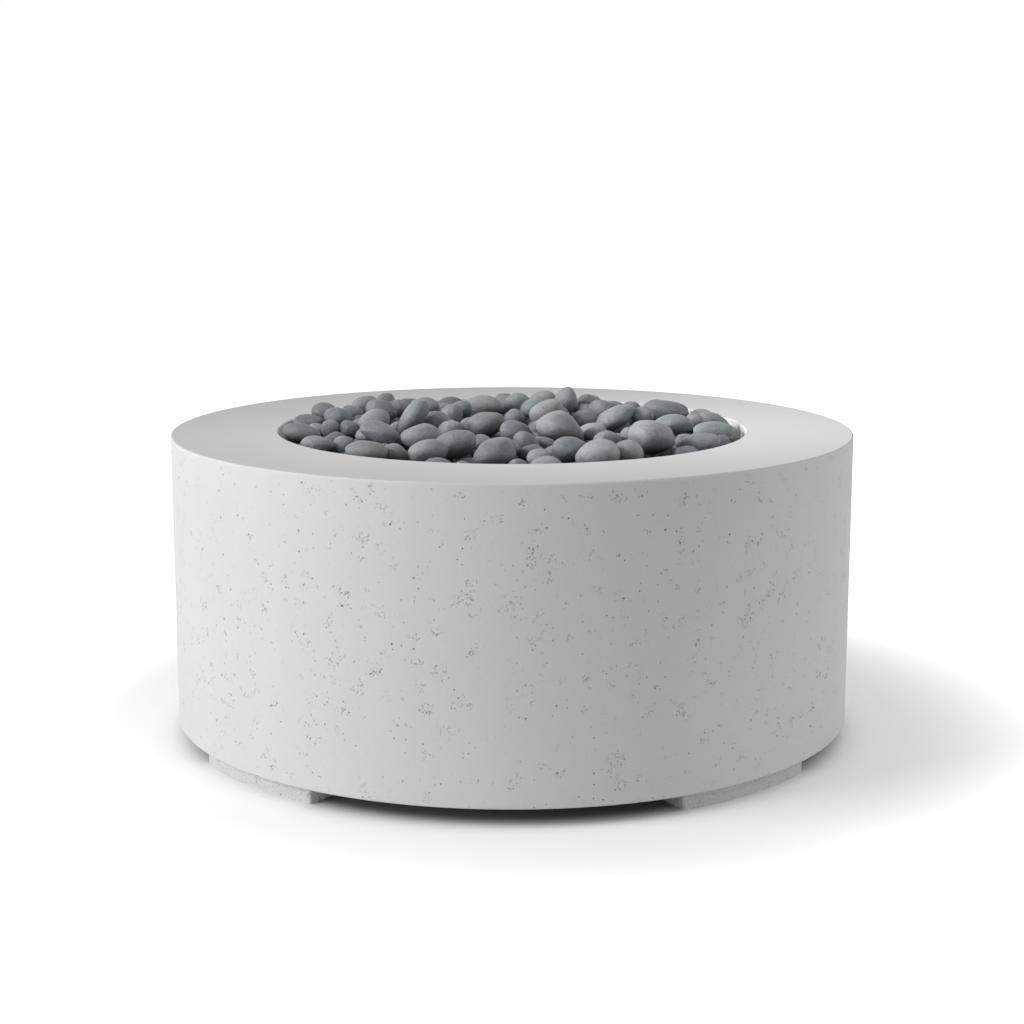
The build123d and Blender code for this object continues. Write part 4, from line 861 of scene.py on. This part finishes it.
@dataclass
class StoneHeap:
    """The bed of tumbled stones: each stone of the frame made irregular, in the place it has there."""

    tones: tuple[str, ...] = ("under", "slate", "ash", "pearl", "moss", "umber")
    around: int = 32
    along: int = 18
    taper: float = 0.14
    bend: float = 0.12
    lump: float = 0.04
    lump_count: int = 6
    lump_rates: Range = (1.5, 4.0)
    lump_phases: Range = (0.0, 6.28)
    flat_count: int = 5
    flat_levels: Range = (0.74, 1.0)
    flat_pull: float = 0.5
    fullness: float = 1.05
    pattern_reach: float = 3.0
    # painted shade over the stones by depth in the bed: its spread, the lift that favours high stones, and the
    # depths where it starts and is full
    shade_around: float = 45.0 * MM
    shade_lift: float = 12.0 * MM
    shade_from: float = 6.0 * MM
    shade_full: float = 44.0 * MM
    seed: int = 7
    rng: np.random.Generator = field(init=False)
    stones: dict[str, Ellipsoids] = field(init=False)

    def __post_init__(self) -> None:
        """Reads the stones, and starts the random numbers, the same in each run."""
        self.rng = np.random.default_rng(self.seed)
        self.stones = {tone: Ellipsoids.of_node(f"stones_{tone}") for tone in self.tones}

    def painted_shade(self, points: np.ndarray) -> np.ndarray:
        """Painted shade on the stones, which grows with the depth in the bed.

        The bed's top over a point is the mean height of the stones' tops, each weighed by the Gaussian of
        its distance and by the exponential of its height, so that high stones count for more. The painted
        shade rises evenly with the depth under that.

        Args:
            points: Points of each stone.

        Returns:
            Painted shade at each point, from 0 to 1.
        """
        centres = np.concatenate([stones.centres for stones in self.stones.values()])
        tops = centres[:, 2] + np.concatenate([stones.half_axes[:, 2] for stones in self.stones.values()])
        depth = np.empty(points.shape[:2])
        for row, own in zip(depth, points):
            away = ((own[:, None, :2] - centres[None, :, :2]) ** 2).sum(axis=-1)
            weight = np.exp(-away / self.shade_around**2) * np.exp(tops / self.shade_lift)
            row[:] = (weight @ tops) / weight.sum(axis=1) - own[:, 2]
        return np.clip((depth - self.shade_from) / (self.shade_full - self.shade_from), 0, 1)

    def directions(self) -> np.ndarray:
        """Directions over a ball from pole to pole along X: (cos a, sin a cos b, sin a sin b).

        Returns:
            Rows of three numbers, ring by ring, with the two poles last.
        """
        a = np.pi * np.arange(1, self.along) / self.along
        b = TURN * np.arange(self.around) / self.around
        a, b = (grid.ravel() for grid in np.meshgrid(a, b, indexing="ij"))
        belt = np.stack([np.cos(a), np.sin(a) * np.cos(b), np.sin(a) * np.sin(b)], axis=1)
        pole = np.array([Axis.X.value])
        return np.concatenate([belt, pole, -pole])

    def random_directions(self, count: int) -> np.ndarray:
        """One random direction for each stone, shaped to combine with all its points."""
        vectors = self.rng.normal(size=(count, 1, 3))
        return vectors / np.linalg.norm(vectors, axis=-1, keepdims=True)

    def random_numbers(self, span: Range, count: int) -> np.ndarray:
        """One random number for each stone, shaped to combine with all its points."""
        return self.rng.uniform(*span, (count, 1, 1))

    def shapes(self, count: int) -> np.ndarray:
        """Irregular stones that fill the cube from -1 to 1.

        A ball gets gentle lumps, which are sines along random directions. It is then tapered along its
        length, bent by the square of its length, and worn flat where it passes random planes.

        Args:
            count: Number of stones.

        Returns:
            Points of each stone: stones, points, three numbers.
        """
        ball = self.directions()[None]
        radius = np.ones((count, ball.shape[1], 1))
        for _ in range(self.lump_count):
            along = (ball * self.random_directions(count)).sum(axis=-1, keepdims=True)
            rate = self.random_numbers(self.lump_rates, count)
            phase = self.random_numbers(self.lump_phases, count)
            radius = radius + self.lump * np.sin(rate * along + phase)
        points = ball * radius
        length = points[..., :1]
        thinner = 1 + self.random_numbers((-self.taper, self.taper), count) * length
        points = np.concatenate([length, points[..., 1:] * thinner], axis=-1)
        bow = self.rng.uniform(-self.bend, self.bend, (count, 1, 2))
        points[..., 1:] += bow * length**2
        for _ in range(self.flat_count):
            facing = self.random_directions(count)
            level = self.random_numbers(self.flat_levels, count)
            over = (points * facing).sum(axis=-1, keepdims=True) - level
            points = points - self.flat_pull * np.maximum(over, 0) * facing
        low, high = points.min(axis=1, keepdims=True), points.max(axis=1, keepdims=True)
        return (2 * points - low - high) / (high - low)

    def build_group(self, tone: str) -> None:
        """Makes the stones of one tone as one piece, which carries their tints, painted shade and pattern
        coordinates.

        Args:
            tone: The tone, which names the node that the piece stands for and its slot.
        """
        stones, node = self.stones[tone], f"stones_{tone}"
        count = len(stones.centres)
        local = self.shapes(count) * stones.half_axes[:, None, :] * self.fullness
        placed = np.einsum("nij,nvj->nvi", stones.turns, local) + stones.centres[:, None, :]
        each = placed.shape[1]
        ball = skin(self.along - 1, self.around)[:, ::-1]
        faces = (ball[None] + each * np.arange(count)[:, None, None]).reshape(-1, 3)
        piece = mesh_piece(f"{node}_dressed", placed.reshape(-1, 3), faces, f"pebble_{tone}")
        grain = local + self.rng.uniform(-1, 1, (count, 1, 3)) * self.pattern_reach
        give_values(piece.data, "grain", grain.reshape(-1, 3))
        give_values(piece.data, "tone", np.repeat(self.rng.uniform(0, 1, count), each))
        # painted shade, darker the deeper a point lies in the bed
        give_values(piece.data, "painted_shade", self.painted_shade(placed).ravel())
        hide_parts(node)

    def build(self) -> None:
        """Makes the stones of every tone."""
        for tone in self.tones:
            self.build_group(tone)


def tube(path: np.ndarray, radius: float, around: int, level: Axis) -> tuple[np.ndarray, np.ndarray]:
    """Carries a circle along a path, square to it, with a fan at each end.

    The circle's first direction is the part of the given axis that is square to the path, and its second
    is square to both.

    Args:
        path: Points of the centreline.
        radius: Radius of the tube.
        around: Points round the circle.
        level: Axis that the path never follows.

    Returns:
        Points, with the two end centres last, and triangles.
    """
    ahead = np.gradient(path, axis=0)
    ahead /= np.linalg.norm(ahead, axis=1, keepdims=True)
    first = np.array(level.value) - (ahead @ np.array(level.value))[:, None] * ahead
    first /= np.linalg.norm(first, axis=1, keepdims=True)
    second = np.cross(ahead, first)
    angle = TURN * np.arange(around) / around
    ring = np.cos(angle)[:, None] * first[:, None] + np.sin(angle)[:, None] * second[:, None]
    rings = path[:, None] + radius * ring
    points = np.concatenate([rings.reshape(-1, 3), path[:1], path[-1:]])
    return points, skin(len(path), around)


@dataclass
class PressSpring:
    """A coil spring behind a push control, which on the real fire pit shortens as the control goes in; here it
    is wound once, at the length of its node.
    """

    node: str
    joint: str
    travel: float
    turns: float
    wire: float = 0.8 * MM
    end_turns: float = 1.0
    end_slack: float = 1.05
    steps: int = 26
    around: int = 8

    def build(self) -> None:
        """Winds the wire between the two ends of the node.

        The height follows the turns evenly, except over the end turns, which lie nearly flat.
        """
        low, high = (np.array(corner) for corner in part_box(self.node))
        centre = (low + high) / 2
        coil = (high[0] - low[0]) / 2 - self.wire / 2
        turn = np.linspace(0.0, self.turns, int(self.turns * self.steps) + 1)
        flat = self.wire * self.end_turns * self.end_slack
        span = high[1] - low[1] - self.wire
        marks = [0.0, self.end_turns, self.turns - self.end_turns, self.turns]
        rise = np.interp(turn, marks, [0.0, flat, span - flat, span])
        across, up = centre[0] + coil * np.cos(TURN * turn), centre[2] + coil * np.sin(TURN * turn)
        path = np.stack([across, low[1] + self.wire / 2 + rise, up], axis=1)
        points, faces = tube(path, self.wire / 2, self.around, Axis.Y)
        piece = mesh_piece(f"{self.node}_coil", points, faces, "spring_steel")
        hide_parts(self.node)
        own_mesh(piece)


@dataclass
class FlexLine:
    """A hose or lead between two fittings inside the drum, on one smooth curve; its route in millimetres."""

    node: str
    slot: str
    diameter: float
    length: float
    stiffness: Stiffness
    route: tuple[Vector, ...]
    level: Axis = Axis.X
    around: int = 16
    order: int = 3
    steps: int = 24
    seam: float = 0.25

    def centreline(self) -> np.ndarray:
        """Follows a NURBS spline that has the route's points as its control points.

        Returns:
            Points along it, in metres.
        """
        curve = bpy.data.curves.new(f"{self.node}_route", "CURVE")
        curve.dimensions = "3D"
        spline = curve.splines.new("NURBS")
        spline.points.add(len(self.route) - 1)
        control = np.array(self.route) * MM
        spline.points.foreach_set("co", np.column_stack([control, np.ones(len(control))]).ravel())
        spline.order_u = self.order
        spline.use_endpoint_u = True
        curve.resolution_u = self.steps
        holder = bpy.data.objects.new(curve.name, curve)
        mesh = bpy.data.meshes.new_from_object(holder)
        points = np.empty(len(mesh.vertices) * 3)
        mesh.vertices.foreach_get("co", points)
        bpy.data.objects.remove(holder)
        bpy.data.curves.remove(curve)
        bpy.data.meshes.remove(mesh)
        return points.reshape(-1, 3)

    def map_run(self, mesh: bpy.types.Mesh, path: np.ndarray, faces: np.ndarray) -> None:
        """Gives the tube its own map, one turn across and metres along.

        Args:
            mesh: The tube.
            path: Points of its centreline.
            faces: Its triangles.
        """
        run = np.concatenate([[0.0], np.cumsum(np.linalg.norm(np.diff(path, axis=0), axis=1))])
        turn = np.append(np.tile(np.arange(self.around) / self.around, len(path)), [0.0, 0.0])
        along = np.append(np.repeat(run, self.around), [0.0, run[-1]])
        across = turn[faces]
        over_seam = (across.max(axis=1, keepdims=True) > 1.0 - self.seam) & (across < self.seam)
        across = np.where(over_seam, across + 1.0, across)
        places = np.stack([across.ravel(), along[faces].ravel()], axis=1)
        layer = mesh.uv_layers.new(name="run")
        layer.data.foreach_set("uv", places.ravel().astype(np.float32))

    def build(self) -> None:
        """Makes the line as a tube along its route, which stands for its node."""
        path = self.centreline()
        points, faces = tube(path, self.diameter / 2, self.around, self.level)
        piece = mesh_piece(f"{self.node}_flexed", points, faces, self.slot)
        self.map_run(piece.data, path, faces)
        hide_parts(self.node)


@dataclass
class ControlPanel:
    """Plate, knob and igniter in the niche at the back."""

    plate: DialPlate = DialPlate("dial_plate", (0.44, 0.44, 0.43), (0.02, 0.02, 0.02))
    springs: tuple[PressSpring, ...] = (
        PressSpring("push_spring", "knob_push", 4.0 * MM, 6.0),
        PressSpring("igniter_spring", "igniter_press", 5.0 * MM, 5.0),
    )

    def build(self) -> None:
        """Winds the springs and dresses the plate."""
        for spring in self.springs:
            spring.build()
        dress(frame["nodes"]["control_plate"], self.plate.material())


@dataclass(frozen=True)
class View:
    """The camera: its place round the object, and its lens in picture points."""

    distance: float = 3.079
    height: float = 0.910
    azimuth: float = 2.87
    pitch: float = 10.485
    focal_points: float = 1961.0
    picture_width: float = 1024.0
    sensor: float = 36.0

    def build(self) -> None:
        """Sets the scene's camera."""
        data = bpy.data.cameras.new("camera")
        data.sensor_width = self.sensor
        data.lens = self.focal_points / self.picture_width * self.sensor
        camera = bpy.data.objects.new("camera", data)
        bearing, pitch = math.radians(self.azimuth), math.radians(self.pitch)
        camera.location = (self.distance * math.sin(bearing), -self.distance * math.cos(bearing), self.height)
        camera.rotation_euler = (math.pi / 2 - pitch, 0.0, bearing)
        bpy.context.scene.collection.objects.link(camera)
        bpy.context.scene.camera = camera


@dataclass(frozen=True)
class SoftBox:
    """A large soft lamp that faces a point."""

    name: str
    place: Vector
    aim: Vector
    size: Range
    power: float
    spread: float = 180.0

    def build(self) -> None:
        """Hangs the lamp."""
        data = bpy.data.lights.new(self.name, "AREA")
        data.shape = "RECTANGLE"
        data.size, data.size_y = self.size
        data.energy = self.power
        data.spread = math.radians(self.spread)
        lamp = bpy.data.objects.new(self.name, data)
        x, y, z = np.array(self.place) - np.array(self.aim)
        lamp.location = self.place
        lamp.rotation_euler = (math.atan2(math.hypot(x, y), z), 0.0, math.atan2(x, -y))
        lamp.visible_camera = False
        bpy.context.scene.collection.objects.link(lamp)


@dataclass
class Studio:
    """White room: pale floor, even light from all round, and soft lamps."""

    sky: float = 0.45
    floor_colour: Colour = (0.74, 0.74, 0.74)
    # painted shadow: the floor's colour for the camera under the drum
    floor_painted_shadow: Colour = (0.2, 0.2, 0.2)
    floor_near: Colour = (1.25, 1.25, 1.25)
    floor_far: Colour = (2.5, 2.5, 2.5)
    painted_shadow_reach: Range = (0.48, 0.54)
    near_reach: Range = (0.6, 1.1)
    floor_reach: float = 60.0
    lamps: tuple[SoftBox, ...] = (
        SoftBox("key", (-3.45, -1.85, 1.5), (0.0, 0.0, 0.3), (2.0, 2.0), 94.0),
        SoftBox("fill", (3.4, 0.2, 1.3), (0.0, 0.0, 0.3), (2.0, 2.0), 24.0),
        SoftBox("rim", (-1.5, -0.45, 1.64), (0.5, 0.05, 0.47), (0.5, 0.5), 1.5, 30.0),
    )

    def build(self) -> None:
        """Sets the world, the floor and the lamps."""
        bpy.context.scene.view_settings.view_transform = "Standard"
        self.build_world()
        self.build_floor()
        for lamp in self.lamps:
            lamp.build()

    def build_world(self) -> None:
        """Even light on the object, plain white where the camera, gloss or glass looks past it."""
        world = bpy.data.worlds.new("studio")
        bpy.context.scene.world = world
        shader = Shader(world)
        steps = {"Value": shader.seen(), "To Min": self.sky, "To Max": 1.0}
        strength = shader.add("ShaderNodeMapRange", None, steps)
        light = shader.add("ShaderNodeBackground", None, {"Color": shader.rgba(WHITE), "Strength": strength})
        shader.add("ShaderNodeOutputWorld", None, {"Surface": light})

    def build_floor(self) -> None:
        """Lays a pale floor under the feet.

        The camera, gloss and glass see it graded by the distance from the drum's axis: a painted shadow, dark
        under the drum, pale beside it and lifted to white further away, still with the lamps' shadow on it.
        """
        square = np.array([(-1, -1, 0), (1, -1, 0), (1, 1, 0), (-1, 1, 0)], float)
        mesh = bpy.data.meshes.new("floor")
        mesh.from_pydata(square * self.floor_reach, [], np.array([[0, 1, 2, 3]]))
        floor = bpy.data.objects.new("floor", mesh)
        bpy.context.scene.collection.objects.link(floor)
        shader = Shader.of_material("floor")
        colours = (self.floor_colour, self.floor_painted_shadow, self.floor_near, self.floor_far)
        matt, under, near, far = (
            shader.add("ShaderNodeBsdfDiffuse", None, {"Color": shader.rgba(colour)}) for colour in colours
        )
        across, back, _ = shader.axes(shader.place())
        away = (across * across + back * back) ** 0.5
        # painted shadow: the camera sees the floor dark under the drum
        beside = shader.blend(away.between(*self.painted_shadow_reach), under, near)
        graded = shader.blend(away.between(*self.near_reach), beside, far)
        both = shader.blend(shader.seen(), matt, graded)
        shader.add("ShaderNodeOutputMaterial", None, {"Surface": both})
        dress(floor, shader.owner)


@dataclass
class GasLines:
    """Hose and leads inside the drum, from the controls at the back to the burner and the pilot."""

    lines: tuple[FlexLine, ...] = (
        FlexLine(
            "gas_hose", "hose_braid", 16.0 * MM, 0.535, Stiffness.STIFF,
            (
                (-40.0, 446.1, 185.0), (-40.0, 446.1, 260.0), (-48.0, 411.1, 320.0), (-58.0, 346.1, 340.0),
                (-56.0, 280.0, 308.0), (-14.0, 129.0, 271.0), (0.0, 74.0, 263.0), (0.0, 34.0, 263.0),
            ),
        ),
        FlexLine(
            "igniter_lead", "lead_rubber", 3.2 * MM, 0.316, Stiffness.MEDIUM,
            (
                (40.0, 436.1, 147.0), (40.0, 401.1, 147.0), (40.0, 366.1, 177.0), (35.0, 351.1, 232.0),
                (26.0, 308.0, 262.0), (20.0, 279.0, 327.0), (18.0, 273.0, 362.0), (18.0, 273.0, 387.0),
            ),
        ),
        FlexLine(
            "probe_lead", "probe_copper", 2.6 * MM, 0.304, Stiffness.STIFF,
            (
                (-24.0, 434.1, 160.0), (-24.0, 404.1, 160.0), (-24.0, 372.1, 185.0), (-24.0, 354.1, 230.0),
                (-24.0, 309.0, 266.0), (-20.0, 279.0, 331.0), (-18.0, 273.0, 366.0), (-18.0, 273.0, 391.0),
            ),
        ),
    )

    def build(self) -> None:
        """Lays every line."""
        for line in self.lines:
            line.build()


def dress_nodes() -> None:
    """Gives every node of the frame the finish of its slot in the record."""
    for part in frame["record"]["subparts"]:
        slot = part["material_slot"]
        dress(frame["nodes"][part["node"]], material_of(slot))
        log.info("%s: %s", part["node"], slot)


def main() -> None:
    """Builds the view, the studio and the object's looks."""
    logging.basicConfig(level=logging.INFO, format="%(name)s %(message)s")
    View().build()
    Studio().build()
    dress_nodes()
    StoneHeap().build()
    ControlPanel().build()
    GasLines().build()


if __name__ == "__main__":
    main()
